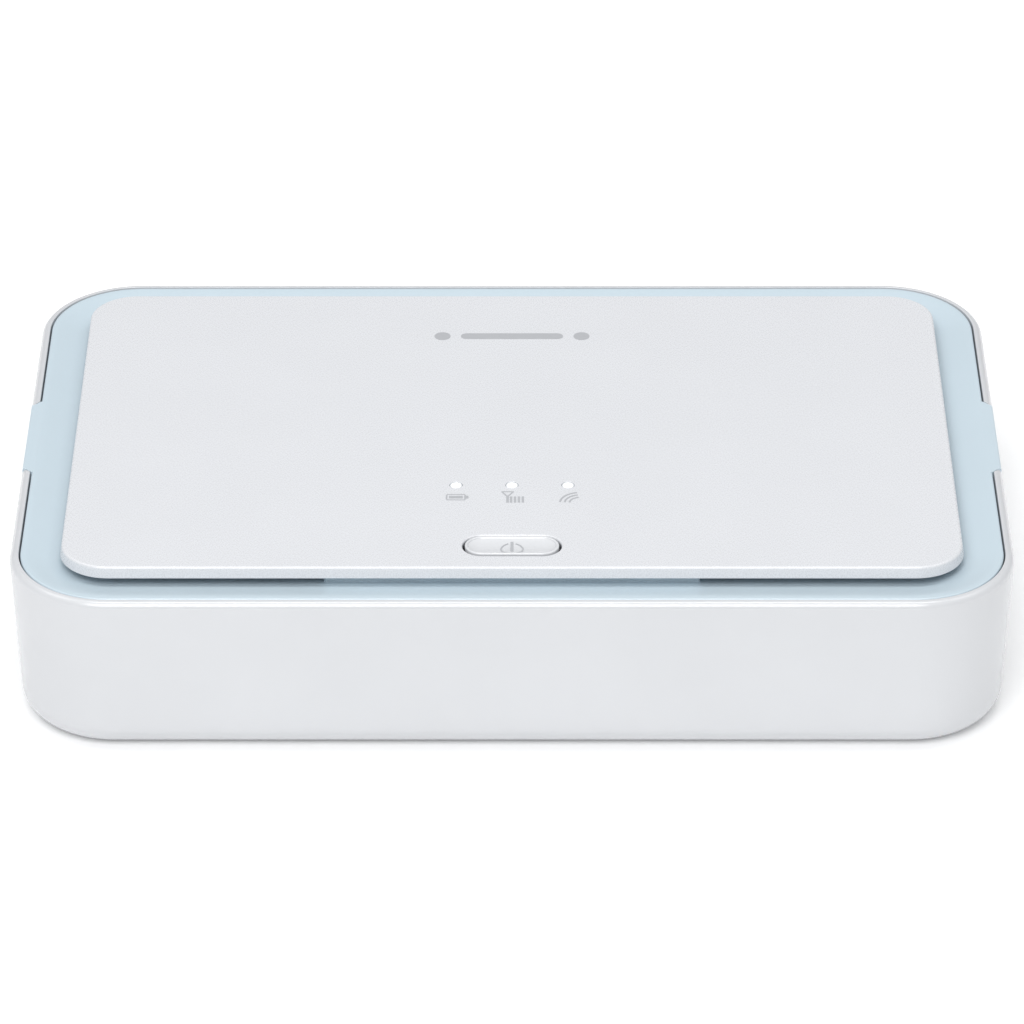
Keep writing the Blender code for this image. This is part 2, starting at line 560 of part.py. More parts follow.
def bay_fittings():
    """Label on the bay's roof, and the connector with three bowed leaves that reach into the bay."""
    box("bay_label", (-34.0, -14.0, BAY_TOP - 0.18), (4.0, 14.0, BAY_TOP - 0.06), PAPER)
    box("battery_connector", CONNECTOR_LOW, CONNECTOR_HIGH, BLACK)
    turns = [math.radians(30 * i - 90) for i in range(7)]
    reach = CONTACT_ROOT - CONTACT_TIP
    front = [(CONTACT_ROOT - reach * math.cos(t), CONTACT_RISE * math.sin(t)) for t in turns]
    inner_reach, inner_rise = reach - CONTACT_SHEET, CONTACT_RISE - CONTACT_SHEET
    back = [(CONTACT_ROOT - inner_reach * math.cos(t), inner_rise * math.sin(t)) for t in turns]
    outline = [(x, CONTACT_Z + z) for x, z in front + back[::-1]]
    for i, y in enumerate(CONTACTS_Y):
        prism(f"battery_contact_{i + 1}", outline, y - CONTACT_HALF, y + CONTACT_HALF, GOLD, axis="Y")


def comb(low, high, teeth, spine):
    """Outline of a comb-shaped trace: a spine along the first axis, with teeth towards low."""
    pitch = (high[0] - low[0]) / (2 * teeth - 1)
    points = [(high[0], high[1]), (low[0], high[1])]
    for i in range(teeth):
        start = low[0] + 2 * i * pitch
        points += [(start, low[1]), (start + pitch, low[1])]
        if i < teeth - 1:
            points += [(start + pitch, high[1] - spine), (start + 2 * pitch, high[1] - spine)]
    return points


def antennas():
    """Thin antenna traces under the deck, each fed by a bent spring clip on the board."""
    prism("main_antenna", comb((-28.0, 22.5), (12.0, 28.0), 6, 1.5), TRACE_Z, TRACE_TOP, GOLD)
    prism("second_antenna", comb((-32.0, -28.0), (-10.0, -23.5), 4, 1.5), TRACE_Z, TRACE_TOP, GOLD)
    turned = [(-y, x) for x, y in comb((-14.0, -44.0), (8.0, -40.0), 4, 1.2)]
    prism("wifi_antenna", turned, TRACE_Z, TRACE_TOP, GOLD)
    foot = [(-0.9, SEAT), (0.9, SEAT), (0.9, SEAT + 0.2), (-0.5, SEAT + 0.3)]
    arm = [(-0.3, 12.6), (0.7, 14.4), (0.6, TRACE_Z - 0.05), (0.3, TRACE_Z - 0.05), (-0.6, 12.7)]
    for i, (x, y) in enumerate(CLIPS):
        outline = [(x + across, z) for across, z in foot + arm]
        prism(f"antenna_clip_{i + 1}", outline, y - 0.6, y + 0.6, GOLD, axis="Y")


def screws():
    """Cross-head screws, driven up from the foot through the board into the bosses."""
    sections = (
        (HEAD_RADIUS - 0.3, HEAD_Z),
        (HEAD_RADIUS, HEAD_Z + 0.2),
        (HEAD_RADIUS, HEAD_TOP),
        (SHANK_RADIUS, HEAD_TOP),
        (SHANK_RADIUS, SHANK_TOP),
    )
    for i, (x, y) in enumerate(SCREWS):
        rings = [[(*point, z) for point in circle(radius, (x, y))] for radius, z in sections]
        screw = loft(f"housing_screw_{i + 1}", rings, STEEL)
        for turn in (0, 90):
            half_x, half_y = CROSS_LENGTH / 2, CROSS_WIDTH / 2
            low, high = (x - half_x, y - half_y, HEAD_Z - 1), (x + half_x, y + half_y, HEAD_Z + CROSS_DEPTH)
            slot = box(f"cross {i} {turn}", low, high)
            slot.rotation_euler.z = math.radians(turn)
            cut(screw, slot)


def build():
    clear_scene()
    upper_housing()
    top_plate()
    power_button()
    power_switch()
    reset_switch()
    status_lights()
    lower_housing()
    main_board()
    usb_port()
    sim_parts()
    battery()
    bay_fittings()
    antennas()
    screws()
    device = [thing for thing in bpy.data.objects if thing.parent is None]
    carry("device", (0.0, 0.0, LOWER_Z), device)
    back_cover()


build()
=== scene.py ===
import json
import math
import bmesh
import bpy
from mathutils import Matrix, Vector


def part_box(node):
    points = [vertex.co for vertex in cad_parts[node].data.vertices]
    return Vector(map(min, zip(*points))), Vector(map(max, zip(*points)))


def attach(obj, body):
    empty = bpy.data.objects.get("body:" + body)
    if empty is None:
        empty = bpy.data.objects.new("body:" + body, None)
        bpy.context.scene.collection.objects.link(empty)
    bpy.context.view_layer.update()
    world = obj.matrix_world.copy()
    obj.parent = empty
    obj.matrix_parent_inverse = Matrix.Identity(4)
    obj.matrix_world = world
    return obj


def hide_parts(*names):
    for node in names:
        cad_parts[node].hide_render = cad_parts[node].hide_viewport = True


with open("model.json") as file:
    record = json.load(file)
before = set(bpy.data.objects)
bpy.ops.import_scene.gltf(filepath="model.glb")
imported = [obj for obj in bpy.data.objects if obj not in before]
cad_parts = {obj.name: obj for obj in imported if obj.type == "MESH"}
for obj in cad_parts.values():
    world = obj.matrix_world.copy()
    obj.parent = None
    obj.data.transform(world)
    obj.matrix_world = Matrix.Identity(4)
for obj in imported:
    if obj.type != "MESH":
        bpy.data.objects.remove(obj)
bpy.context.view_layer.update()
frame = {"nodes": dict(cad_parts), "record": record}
mm = 0.001  # shapes are built in millimetres, and stand() brings each one to metres


def cadMm(node):
    # a node's lowest and highest corner, in mm
    low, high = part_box(node)
    return [value / mm for value in low], [value / mm for value in high]


coverLow, coverHigh = cadMm("back_cover")
plateLow, plateHigh = cadMm("top_plate")
keyLow, keyHigh = cadMm("power_button")
body = {
    "length": coverHigh[0] - coverLow[0], "width": coverHigh[1] - coverLow[1],
    "corner": 10.3, "cornerSteps": 28, "rim": coverHigh[2], "draft": 0.0425,
}


def newTree(name, inputs):
    tree = bpy.data.node_groups.new(name, "GeometryNodeTree")
    tree.interface.new_socket(name="Geometry", in_out="INPUT", socket_type="NodeSocketGeometry")
    for label, kind in inputs:
        tree.interface.new_socket(name=label, in_out="INPUT", socket_type=kind)
    tree.interface.new_socket(name="Geometry", in_out="OUTPUT", socket_type="NodeSocketGeometry")
    return tree, tree.nodes.new("NodeGroupInput"), tree.nodes.new("NodeGroupOutput")


def closeTree(tree, source, groupIn, groupOut):
    # every tree ends the same way: real mesh, then its material
    realize = tree.nodes.new("GeometryNodeRealizeInstances")
    paint = tree.nodes.new("GeometryNodeSetMaterial")
    tree.links.new(source, realize.inputs["Geometry"])
    tree.links.new(realize.outputs["Geometry"], paint.inputs["Geometry"])
    tree.links.new(groupIn.outputs["Material"], paint.inputs["Material"])
    tree.links.new(paint.outputs["Geometry"], groupOut.inputs["Geometry"])


def planSweepTree():
    # sweeps a profile round a rounded rectangle
    tree, groupIn, groupOut = newTree("planSweep", [
        ("Length", "NodeSocketFloat"), ("Width", "NodeSocketFloat"), ("Corner Radius", "NodeSocketFloat"),
        ("Corner Steps", "NodeSocketInt"), ("Material", "NodeSocketMaterial")])
    nodes, link = tree.nodes, tree.links.new
    plan = nodes.new("GeometryNodeCurvePrimitiveQuadrilateral")
    fillet = nodes.new("GeometryNodeFilletCurve")
    fillet.mode = "POLY"
    upright = nodes.new("GeometryNodeSetCurveNormal")
    upright.mode = "Z_UP"
    profile = nodes.new("GeometryNodeMeshToCurve")
    sweep = nodes.new("GeometryNodeCurveToMesh")
    link(groupIn.outputs["Length"], plan.inputs["Width"])
    link(groupIn.outputs["Width"], plan.inputs["Height"])
    link(plan.outputs["Curve"], fillet.inputs["Curve"])
    link(groupIn.outputs["Corner Steps"], fillet.inputs["Count"])
    link(groupIn.outputs["Corner Radius"], fillet.inputs["Radius"])
    link(fillet.outputs["Curve"], upright.inputs["Curve"])
    link(upright.outputs["Curve"], sweep.inputs["Curve"])
    link(groupIn.outputs["Geometry"], profile.inputs["Mesh"])
    link(profile.outputs["Curve"], sweep.inputs["Profile Curve"])
    closeTree(tree, sweep.outputs["Mesh"], groupIn, groupOut)
    return tree


def rowTree():
    # repeats a shape along a line
    tree, groupIn, groupOut = newTree("row", [
        ("Count", "NodeSocketInt"), ("Start", "NodeSocketVector"), ("Step", "NodeSocketVector"),
        ("Material", "NodeSocketMaterial")])
    nodes, link = tree.nodes, tree.links.new
    line = nodes.new("GeometryNodeMeshLine")
    place = nodes.new("GeometryNodeInstanceOnPoints")
    link(groupIn.outputs["Count"], line.inputs["Count"])
    link(groupIn.outputs["Start"], line.inputs["Start Location"])
    link(groupIn.outputs["Step"], line.inputs["Offset"])
    link(line.outputs["Mesh"], place.inputs["Points"])
    link(groupIn.outputs["Geometry"], place.inputs["Instance"])
    closeTree(tree, place.outputs["Instances"], groupIn, groupOut)
    return tree


def cornersTree():
    # sets one shape at the four corners of a rectangle, each turned a little further than the last
    tree, groupIn, groupOut = newTree("corners", [
        ("Length", "NodeSocketFloat"), ("Width", "NodeSocketFloat"), ("Turn", "NodeSocketFloat"),
        ("Material", "NodeSocketMaterial")])
    nodes, link = tree.nodes, tree.links.new
    grid = nodes.new("GeometryNodeMeshGrid")
    grid.inputs["Vertices X"].default_value = 2
    grid.inputs["Vertices Y"].default_value = 2
    index = nodes.new("GeometryNodeInputIndex")
    turn = nodes.new("ShaderNodeMath")
    turn.operation = "MULTIPLY"
    aim = nodes.new("ShaderNodeCombineXYZ")
    place = nodes.new("GeometryNodeInstanceOnPoints")
    link(groupIn.outputs["Length"], grid.inputs["Size X"])
    link(groupIn.outputs["Width"], grid.inputs["Size Y"])
    link(index.outputs["Index"], turn.inputs[0])
    link(groupIn.outputs["Turn"], turn.inputs[1])
    link(turn.outputs["Value"], aim.inputs["Z"])
    link(grid.outputs["Mesh"], place.inputs["Points"])
    link(groupIn.outputs["Geometry"], place.inputs["Instance"])
    link(aim.outputs["Vector"], place.inputs["Rotation"])
    closeTree(tree, place.outputs["Instances"], groupIn, groupOut)
    return tree


planSweep, row, corners = planSweepTree(), rowTree(), cornersTree()


def runTree(tree, start, values):
    # runs a tree on a mesh and gives the plain mesh that comes out
    holder = bpy.data.objects.new("holder", start)
    bpy.context.scene.collection.objects.link(holder)
    modifier = holder.modifiers.new(tree.name, "NODES")
    modifier.node_group = tree
    for item in tree.interface.items_tree:
        if item.in_out == "INPUT" and item.name in values:
            modifier[item.identifier] = values[item.name]
    mesh = bpy.data.meshes.new_from_object(holder.evaluated_get(bpy.context.evaluated_depsgraph_get()))
    bpy.data.objects.remove(holder)
    return mesh


def tidyMesh(mesh, sharpAngle=40):
    # merges doubles, closes open ends, turns faces outwards, and shades smooth up to the angle
    shape = bmesh.new()
    shape.from_mesh(mesh)
    bmesh.ops.remove_doubles(shape, verts=shape.verts, dist=2e-4)
    openEdges = [edge for edge in shape.edges if edge.is_boundary]
    if openEdges:
        bmesh.ops.holes_fill(shape, edges=openEdges, sides=0)
    bmesh.ops.recalc_face_normals(shape, faces=shape.faces)
    if shape.calc_volume(signed=True) < 0:
        bmesh.ops.reverse_faces(shape, faces=shape.faces)
    shape.to_mesh(mesh)
    shape.free()
    mesh.shade_smooth()
    mesh.set_sharp_from_angle(angle=math.radians(sharpAngle))


def pieceFrom(name, mesh, material, sharpAngle=40):
    tidyMesh(mesh, sharpAngle)
    mesh.name = name
    mesh.materials.clear()
    mesh.materials.append(material)
    piece = bpy.data.objects.new(name, mesh)
    bpy.context.scene.collection.objects.link(piece)
    return piece


def arc(inset, height, radius, start, end, steps=6):
    turns = [math.radians(start + (end - start) * i / steps) for i in range(steps + 1)]
    return [(inset + radius * math.cos(turn), height + radius * math.sin(turn)) for turn in turns]


def sweep(name, profile, plan, material, centre=(0.0, 0.0)):
    # profile: (inset, height) points in mm; plan: length, width, corner and steps in mm
    length, width, corner, steps = plan
    start = bpy.data.meshes.new("profile")
    points = [(-inset, -height, 0.0) for inset, height in profile]
    start.from_pydata(points, [(i, i + 1) for i in range(len(points) - 1)], [])
    mesh = runTree(planSweep, start, {
        "Length": length, "Width": width, "Corner Radius": corner, "Corner Steps": steps,
        "Material": material})
    mesh.transform(Matrix.Translation((*centre, 0.0)))
    return pieceFrom(name, mesh, material)


def loft(name, rings, material):
    # closed solid through rings of the same number of points, with its two ends capped
    count = len(rings[0])
    faces = [(r * count + i, r * count + (i + 1) % count,
              (r + 1) * count + (i + 1) % count, (r + 1) * count + i)
             for r in range(len(rings) - 1) for i in range(count)]
    faces += [tuple(range(count)), tuple(range((len(rings) - 1) * count, len(rings) * count))]
    mesh = bpy.data.meshes.new(name)
    mesh.from_pydata([point for ring in rings for point in ring], [], faces)
    return pieceFrom(name, mesh, material)


def capsule(name, profile, half, material, centre=(0.0, 0.0), steps=12):
    # solid with round ends, or a round one where both halves are the same; its profile is as in sweep()
    straight = half[0] - half[1]
    rings = []
    for inset, height in profile:
        right = arc(centre[0] + straight, centre[1], half[1] - inset, -90, 90, steps)
        left = arc(centre[0] - straight, centre[1], half[1] - inset, 90, 270, steps)
        ring = right + left if straight > 0 else right[:-1] + left[:-1]
        rings.append([(x, y, height) for x, y in ring])
    return loft(name, rings, material)


def prism(name, outline, low, high, material, axis="Z"):
    # outline is in the other two axes, in X, Y, Z order
    place = {
        "X": lambda u, v, w: (w, u, v), "Y": lambda u, v, w: (u, w, v), "Z": lambda u, v, w: (u, v, w),
    }[axis]
    count = len(outline)
    points = [place(u, v, w) for w in (low, high) for u, v in outline]
    faces = [(i, (i + 1) % count, count + (i + 1) % count, count + i) for i in range(count)]
    faces += [tuple(range(count)), tuple(range(count, 2 * count))]
    mesh = bpy.data.meshes.new(name)
    mesh.from_pydata(points, [], faces)
    return pieceFrom(name, mesh, material)


def block(name, low, high, material):
    outline = [(low[0], low[1]), (high[0], low[1]), (high[0], high[1]), (low[0], high[1])]
    return prism(name, outline, low[2], high[2], material)


def roundedOutline(low, high, radius, steps=6):
    outline = []
    for i, (x, y) in enumerate(((high[0], high[1]), (low[0], high[1]), (low[0], low[1]), (high[0], low[1]))):
        centreX = x - radius if x == high[0] else x + radius
        centreY = y - radius if y == high[1] else y + radius
        outline += arc(centreX, centreY, radius, 90 * i, 90 * i + 90, steps)
    return outline


def bake(piece):
    # makes the modifiers' result the piece's own mesh
    mesh = bpy.data.meshes.new_from_object(piece.evaluated_get(bpy.context.evaluated_depsgraph_get()))
    piece.modifiers.clear()
    piece.data = mesh


def boolean(piece, tools, operation):
    for tool in tools:
        modifier = piece.modifiers.new("boolean", "BOOLEAN")
        modifier.operation = operation
        modifier.solver = "EXACT"
        modifier.object = tool
    bake(piece)
    for tool in tools:
        bpy.data.objects.remove(tool)


def cut(piece, *tools):
    boolean(piece, tools, "DIFFERENCE")


def join(piece, *tools):
    boolean(piece, tools, "UNION")


def merge(name, pieces, material):
    # puts loose solids into one piece
    shape = bmesh.new()
    for piece in pieces:
        shape.from_mesh(piece.data)
        bpy.data.objects.remove(piece)
    mesh = bpy.data.meshes.new(name)
    shape.to_mesh(mesh)
    shape.free()
    return pieceFrom(name, mesh, material)


def rowOf(name, single, count, start, step, material):
    # a row of the same solid, made by the row tree
    mesh = runTree(row, single.data, {"Count": count, "Start": start, "Step": step, "Material": material})
    bpy.data.objects.remove(single)
    return pieceFrom(name, mesh, material)


def clean(piece):
    # merges near points and drops faces without area
    shape = bmesh.new()
    shape.from_mesh(piece.data)
    bmesh.ops.remove_doubles(shape, verts=shape.verts, dist=1e-3)
    bmesh.ops.dissolve_degenerate(shape, dist=1e-3, edges=shape.edges)
    shape.to_mesh(piece.data)
    shape.free()


def soften(piece, width, angle=35, segments=2):
    # rounds crisp edges and keeps flat faces flat in shading
    clean(piece)
    piece.data.shade_smooth()
    if width:
        bevel = piece.modifiers.new("bevel", "BEVEL")
        bevel.width = width
        bevel.segments = segments
        bevel.limit_method = "ANGLE"
        bevel.angle_limit = math.radians(angle)
        bake(piece)
        clean(piece)
    weighted = piece.modifiers.new("weighted", "WEIGHTED_NORMAL")
    weighted.weight = 80
    bake(piece)


def stand(piece, bodyName, slot, *nodes):
    piece.data.transform(Matrix.Scale(mm, 4))
    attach(piece, bodyName)
    if nodes:
        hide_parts(*nodes)


def newMaterial(name):
    material = bpy.data.materials.new(name)
    material.use_nodes = True
    return (material, material.node_tree.nodes, material.node_tree.links.new,
            material.node_tree.nodes["Principled BSDF"])


def noiseAt(nodes, link, scale, detail=3.0):
    place = nodes.new("ShaderNodeTexCoord")
    noise = nodes.new("ShaderNodeTexNoise")
    noise.inputs["Scale"].default_value = scale
    noise.inputs["Detail"].default_value = detail
    link(place.outputs["Object"], noise.inputs["Vector"])
    return noise


def blendColours(nodes, link, factor, first, second, low=0.35, high=0.65):
    ramp = nodes.new("ShaderNodeValToRGB")
    ramp.color_ramp.elements[0].position = low
    ramp.color_ramp.elements[1].position = high
    ramp.color_ramp.elements[0].color = (*first, 1.0)
    ramp.color_ramp.elements[1].color = (*second, 1.0)
    link(factor, ramp.inputs["Fac"])
    return ramp.outputs["Color"]


def spread(nodes, link, value, low, high):
    ranged = nodes.new("ShaderNodeMapRange")
    ranged.inputs["To Min"].default_value = low
    ranged.inputs["To Max"].default_value = high
    link(value, ranged.inputs["Value"])
    return ranged.outputs["Result"]


def plastic(name, colour, tint=0.02, roughness=(0.38, 0.46), grain=0.12, depth=0.004, coat=0.0, specular=0.5):
    # moulded plastic: a faint cloudiness in its colour, and a grain of a given size and depth in mm
    material, nodes, link, shader = newMaterial(name)
    cloud = noiseAt(nodes, link, 90.0, 2.0)
    darker = [value * (1 - tint) for value in colour]
    link(blendColours(nodes, link, cloud.outputs["Fac"], darker, colour), shader.inputs["Base Color"])
    fine = noiseAt(nodes, link, 1 / (grain * mm), 2.0)
    link(spread(nodes, link, fine.outputs["Fac"], *roughness), shader.inputs["Roughness"])
    bump = nodes.new("ShaderNodeBump")
    bump.inputs["Strength"].default_value = 1.0
    bump.inputs["Distance"].default_value = depth * mm
    link(fine.outputs["Fac"], bump.inputs["Height"])
    link(bump.outputs["Normal"], shader.inputs["Normal"])
    shader.inputs["Coat Weight"].default_value = coat
    shader.inputs["Specular IOR Level"].default_value = specular
    return material


def metal(name, colour, roughness=(0.25, 0.4), streaks=(40.0, 1500.0, 1500.0)):
    # rolled or plated metal: fine streaks along one axis
    material, nodes, link, shader = newMaterial(name)
    shader.inputs["Metallic"].default_value = 1.0
    place = nodes.new("ShaderNodeTexCoord")
    stretch = nodes.new("ShaderNodeMapping")
    stretch.inputs["Scale"].default_value = streaks
    noise = nodes.new("ShaderNodeTexNoise")
    noise.inputs["Scale"].default_value = 1.0
    link(place.outputs["Object"], stretch.inputs["Vector"])
    link(stretch.outputs["Vector"], noise.inputs["Vector"])
    link(spread(nodes, link, noise.outputs["Fac"], *roughness), shader.inputs["Roughness"])
    darker = [value * 0.9 for value in colour]
    link(blendColours(nodes, link, noise.outputs["Fac"], darker, colour), shader.inputs["Base Color"])
    bump = nodes.new("ShaderNodeBump")
    bump.inputs["Distance"].default_value = 0.002 * mm
    link(noise.outputs["Fac"], bump.inputs["Height"])
    link(bump.outputs["Normal"], shader.inputs["Normal"])
    return material


def solderMask(name):
    # green board: darker ground with straight copper runs showing through the mask
    material, nodes, link, shader = newMaterial(name)
    place = nodes.new("ShaderNodeTexCoord")
    cells = nodes.new("ShaderNodeTexBrick")
    cells.inputs["Scale"].default_value = 420.0
    cells.inputs["Mortar Size"].default_value = 0.03
    cells.inputs["Color1"].default_value = (0.010, 0.10, 0.045, 1.0)
    cells.inputs["Color2"].default_value = (0.012, 0.13, 0.060, 1.0)
    cells.inputs["Mortar"].default_value = (0.03, 0.24, 0.12, 1.0)
    link(place.outputs["Object"], cells.inputs["Vector"])
    link(cells.outputs["Color"], shader.inputs["Base Color"])
    shader.inputs["Roughness"].default_value = 0.3
    shader.inputs["Coat Weight"].default_value = 0.4
    bump = nodes.new("ShaderNodeBump")
    bump.inputs["Distance"].default_value = 0.02 * mm
    link(cells.outputs["Fac"], bump.inputs["Height"])
    link(bump.outputs["Normal"], shader.inputs["Normal"])
    return material


def paintedGlow(name, colour, strength):
    # frosted light pipe with a painted glow: a faint even emission brightens it though no lamp lights it, and
    # its colour is a touch lighter where its fine grain is high
    material, nodes, link, shader = newMaterial(name)
    frost = noiseAt(nodes, link, 9000.0, 1.0)
    link(blendColours(nodes, link, frost.outputs["Fac"], [value * 0.97 for value in colour], colour),
         shader.inputs["Base Color"])
    link(spread(nodes, link, frost.outputs["Fac"], 0.25, 0.4), shader.inputs["Roughness"])
    # the emission is a painted glow that lifts the pipes' brightness; no lamp lights them from below
    shader.inputs["Emission Color"].default_value = (*colour, 1.0)
    shader.inputs["Emission Strength"].default_value = strength
    return material


coverPlastic = plastic("coverPlastic", (0.655, 0.665, 0.685), tint=0.02, roughness=(0.16, 0.28), grain=0.18,
                       depth=0.004, specular=1.0)
platePlastic = plastic("platePlastic", (0.735, 0.745, 0.77), tint=0.012, roughness=(0.25, 0.30), grain=0.14,
                       depth=0.001, specular=1.0)
bluePlastic = plastic("bluePlastic", (0.575, 0.68, 0.745), tint=0.015, roughness=(0.26, 0.34), grain=0.12,
                      depth=0.002, specular=1.0)
innerPlastic = plastic("innerPlastic", (0.68, 0.69, 0.70), tint=0.03, roughness=(0.45, 0.6), grain=0.16,
                       depth=0.010)
keyPlastic = plastic("keyPlastic", (0.71, 0.72, 0.74), tint=0.01, roughness=(0.24, 0.28), grain=0.2,
                     depth=0.0004, specular=1.0)
# light pipes: their brightness is partly a painted glow from emission, with no lamp behind them
pipeClear = paintedGlow("pipeClear", (0.93, 0.95, 0.97), 0.16)
printGrey = plastic("printGrey", (0.46, 0.47, 0.49), tint=0.05, grain=0.06, depth=0.002, roughness=(0.5, 0.6))
blackPlastic = plastic("blackPlastic", (0.025, 0.025, 0.027), tint=0.25, grain=0.10, depth=0.008,
                       roughness=(0.4, 0.6))
creamPlastic = plastic("creamPlastic", (0.72, 0.66, 0.54), tint=0.05, grain=0.10, depth=0.004)
wrapFilm = plastic("wrapFilm", (0.09, 0.10, 0.12), tint=0.12, grain=0.3, depth=0.006,
                   roughness=(0.32, 0.5), coat=0.15)
cardStock = plastic("cardStock", (0.82, 0.83, 0.82), tint=0.03, grain=0.2, depth=0.002, roughness=(0.3, 0.4))
tapeFoam = plastic("tapeFoam", (0.16, 0.17, 0.18), tint=0.2, grain=0.08, depth=0.02, roughness=(0.8, 0.95))
canMetal = metal("canMetal", (0.66, 0.66, 0.64))
goldPlate = metal("goldPlate", (0.86, 0.62, 0.24), roughness=(0.18, 0.3))
screwSteel = metal("screwSteel", (0.52, 0.52, 0.53), roughness=(0.2, 0.35), streaks=(900.0, 900.0, 60.0))
boardMask = solderMask("boardMask")

slotMaterials = {
    "cover_white": coverPlastic, "border_blue": bluePlastic, "inner_white": innerPlastic,
    "button_gloss": keyPlastic, "light_clear": pipeClear, "board_green": boardMask,
    "shield_metal": canMetal, "part_black": blackPlastic,
    "contact_gold": goldPlate, "screw_steel": screwSteel, "battery_wrap": wrapFilm, "paper_white": cardStock,
    "tape_grey": tapeFoam, "plastic_cream": creamPlastic,
}
for part in frame["record"]["subparts"]:
    node = frame["nodes"][part["node"]]
    node.data.materials.clear()
    node.data.materials.append(slotMaterials[part["material_slot"]])
print("materials made:", len(bpy.data.materials))


def wallInset(height, inset):
    return inset + body["draft"] * (body["rim"] - height)


cover = {
    "wall": 0.87, "floor": 1.2, "footRound": 2.8,
    "rimRound": 0.76, "rimFall": 0.01, "innerRound": 0.07, "edge": 0.05,
    "notchHalf": 6.65, "notchSlant": 0.75, "notchLow": 8.1, "notchInset": 0.2, "notchReach": 4, "cutPast": 2,
    "bumpX": 25.0, "bumpHalf": 4.0, "bumpZ": 12.0, "bumpRise": 0.8, "bumpInset": 1.55, "bumpRoot": 0.4,
    "bumpSlope": 0.12, "bumpShoulder": 0.3, "bumpTip": 0.1,
}
bodyPlan = (body["length"], body["width"], body["corner"], body["cornerSteps"])
halfLength, halfWidth = body["length"] / 2, body["width"] / 2


def notchOutline(side, gap, outerX, innerX):
    narrowX = halfLength - cover["notchInset"] - gap * math.tan(math.radians(22.5))
    narrowY = cover["notchHalf"] - gap
    wideX, wideY = narrowX - cover["notchSlant"], narrowY + cover["notchSlant"]
    half = [(outerX, narrowY), (narrowX, narrowY), (wideX, wideY), (innerX, wideY)]
    upper = [(side * x, y) for x, y in half]
    return upper + [(x, -y) for x, y in reversed(upper)]


def makeCover():
    foot, rim = cover["footRound"], body["rim"]
    footInset = wallInset(foot, 0.0) + foot
    profile = arc(footInset, foot, foot, 270, 180, 14)
    profile += arc(cover["rimRound"], rim - cover["rimRound"], cover["rimRound"], 180, 90, 8)
    innerInset, innerFall = cover["wall"] - cover["innerRound"], rim - cover["rimFall"] - cover["innerRound"]
    profile += arc(innerInset, innerFall, cover["innerRound"], 90, 0, 4)
    inner = foot - cover["wall"]
    low = cover["floor"] + inner
    profile += arc(wallInset(low, cover["wall"]) + inner, low, inner, 180, 270, 10)
    shell = sweep("coverShell", profile, bodyPlan, coverPlastic)
    bumps = []
    for sideX in (-1, 1):
        for sideY in (-1, 1):
            wallY = halfWidth - wallInset(cover["bumpZ"], cover["wall"]) + cover["bumpRoot"]
            tipY, rise = halfWidth - cover["bumpInset"], cover["bumpRise"]
            slopeY, shoulder, tip = tipY + cover["bumpSlope"], cover["bumpShoulder"], cover["bumpTip"]
            half = [(wallY, -rise), (slopeY, -shoulder), (tipY, -tip),
                    (tipY, tip), (slopeY, shoulder), (wallY, rise)]
            outline = [(sideY * y, cover["bumpZ"] + z) for y, z in half]
            middle = sideX * cover["bumpX"]
            bumps.append(prism("bump", outline, middle - cover["bumpHalf"], middle + cover["bumpHalf"],
                               coverPlastic, "X"))
    join(shell, *bumps)
    past, reach = cover["cutPast"], cover["notchReach"]
    notches = [prism("notch", notchOutline(side, 0.0, halfLength + past, halfLength - reach),
                     cover["notchLow"], rim + past, coverPlastic) for side in (-1, 1)]
    cut(shell, *notches)
    soften(shell, cover["edge"])
    stand(shell, "cover", "cover_white", "back_cover")


key = {
    "y": (keyLow[1] + keyHigh[1]) / 2,
    "half": (4.70, 1.75), "slotHalf": (4.95, 1.97), "pocketHalf": (6.0, 2.8),
    "flange": 0.75, "flangeLow": 16.6, "flangeTop": 17.25,
    "lipTop": 18.68, "lipRound": 0.17, "lipWidth": 0.40,
    "scoop": 0.235, "crease": 0.12, "creaseDeep": 0.05, "faceEnd": 0.12, "faceSteps": 8,
    "stem": 1.5, "stemWay": 1.9, "stemLow": keyLow[2], "stemTop": 17.0, "stemRound": 0.12, "pocketLow": 16.2,
}
lights = {
    "x": (-5.66, 0.0, 5.66), "y": -12.1, "hole": 0.67, "pipe": 0.59, "way": 0.75, "top": 18.68, "dome": 0.16,
    "low": 11.3, "bridgeLow": 14.2, "bridgeTop": 15.0, "bridgeRound": 0.6,
}
border = {
    "inset": 1.03, "skirtWall": 1.1, "split": 9.0, "top": 17.36, "edge": 1.3, "drop": 1.2, "crispEdge": 0.06,
    "deckInset": 8.5, "deckLow": 15.15, "lipRound": 0.2, "ease": 0.12, "dishSteps": 24,
    "cornerFall": 0.75, "gussetRun": 1.8, "gussetFall": 0.15,
    "tabLow": 9.2, "tabGap": 0.08, "tabRound": 0.28, "tabRoot": 0.3,
    "channelInset": 1.85, "channelPlay": 0.4, "channelTop": 13.2, "channelPast": 2,
    "root": 15.6, "island": ((-33.0, -14.5), (33.0, 21.0), 17.15), "islandRound": 2.0,
    "block": ((-18.65, -27.4), (18.65, -20.5), 17.34), "blockRound": 0.25,
    "bossAt": (36.0, 27.9), "boss": 2.1, "bossLow": 10.5, "pilot": 0.85, "pilotTop": 14.9, "pilotLow": 10.0,
    "wayLow": 14.0, "lightWayTop": 18.0, "pocketTop": 19.0,
    "usbWay": ((-4.1, 10.15), (4.1, 13.25)), "usbRound": 0.5, "usbReach": (-52.0, -46.0),
    "pinWay": 0.8, "pinHeight": 11.6, "pinReach": (46.6, 52.0),
}


def dishHeight(inset):
    # it leaves the lip level, bends down softly, and is level again where it meets the deck
    share = (inset - border["edge"]) / (border["deckInset"] - border["edge"])
    share *= (1 + border["ease"]) * share / (share + border["ease"])
    return border["top"] - border["drop"] * (1 - (1 - share) ** 2)


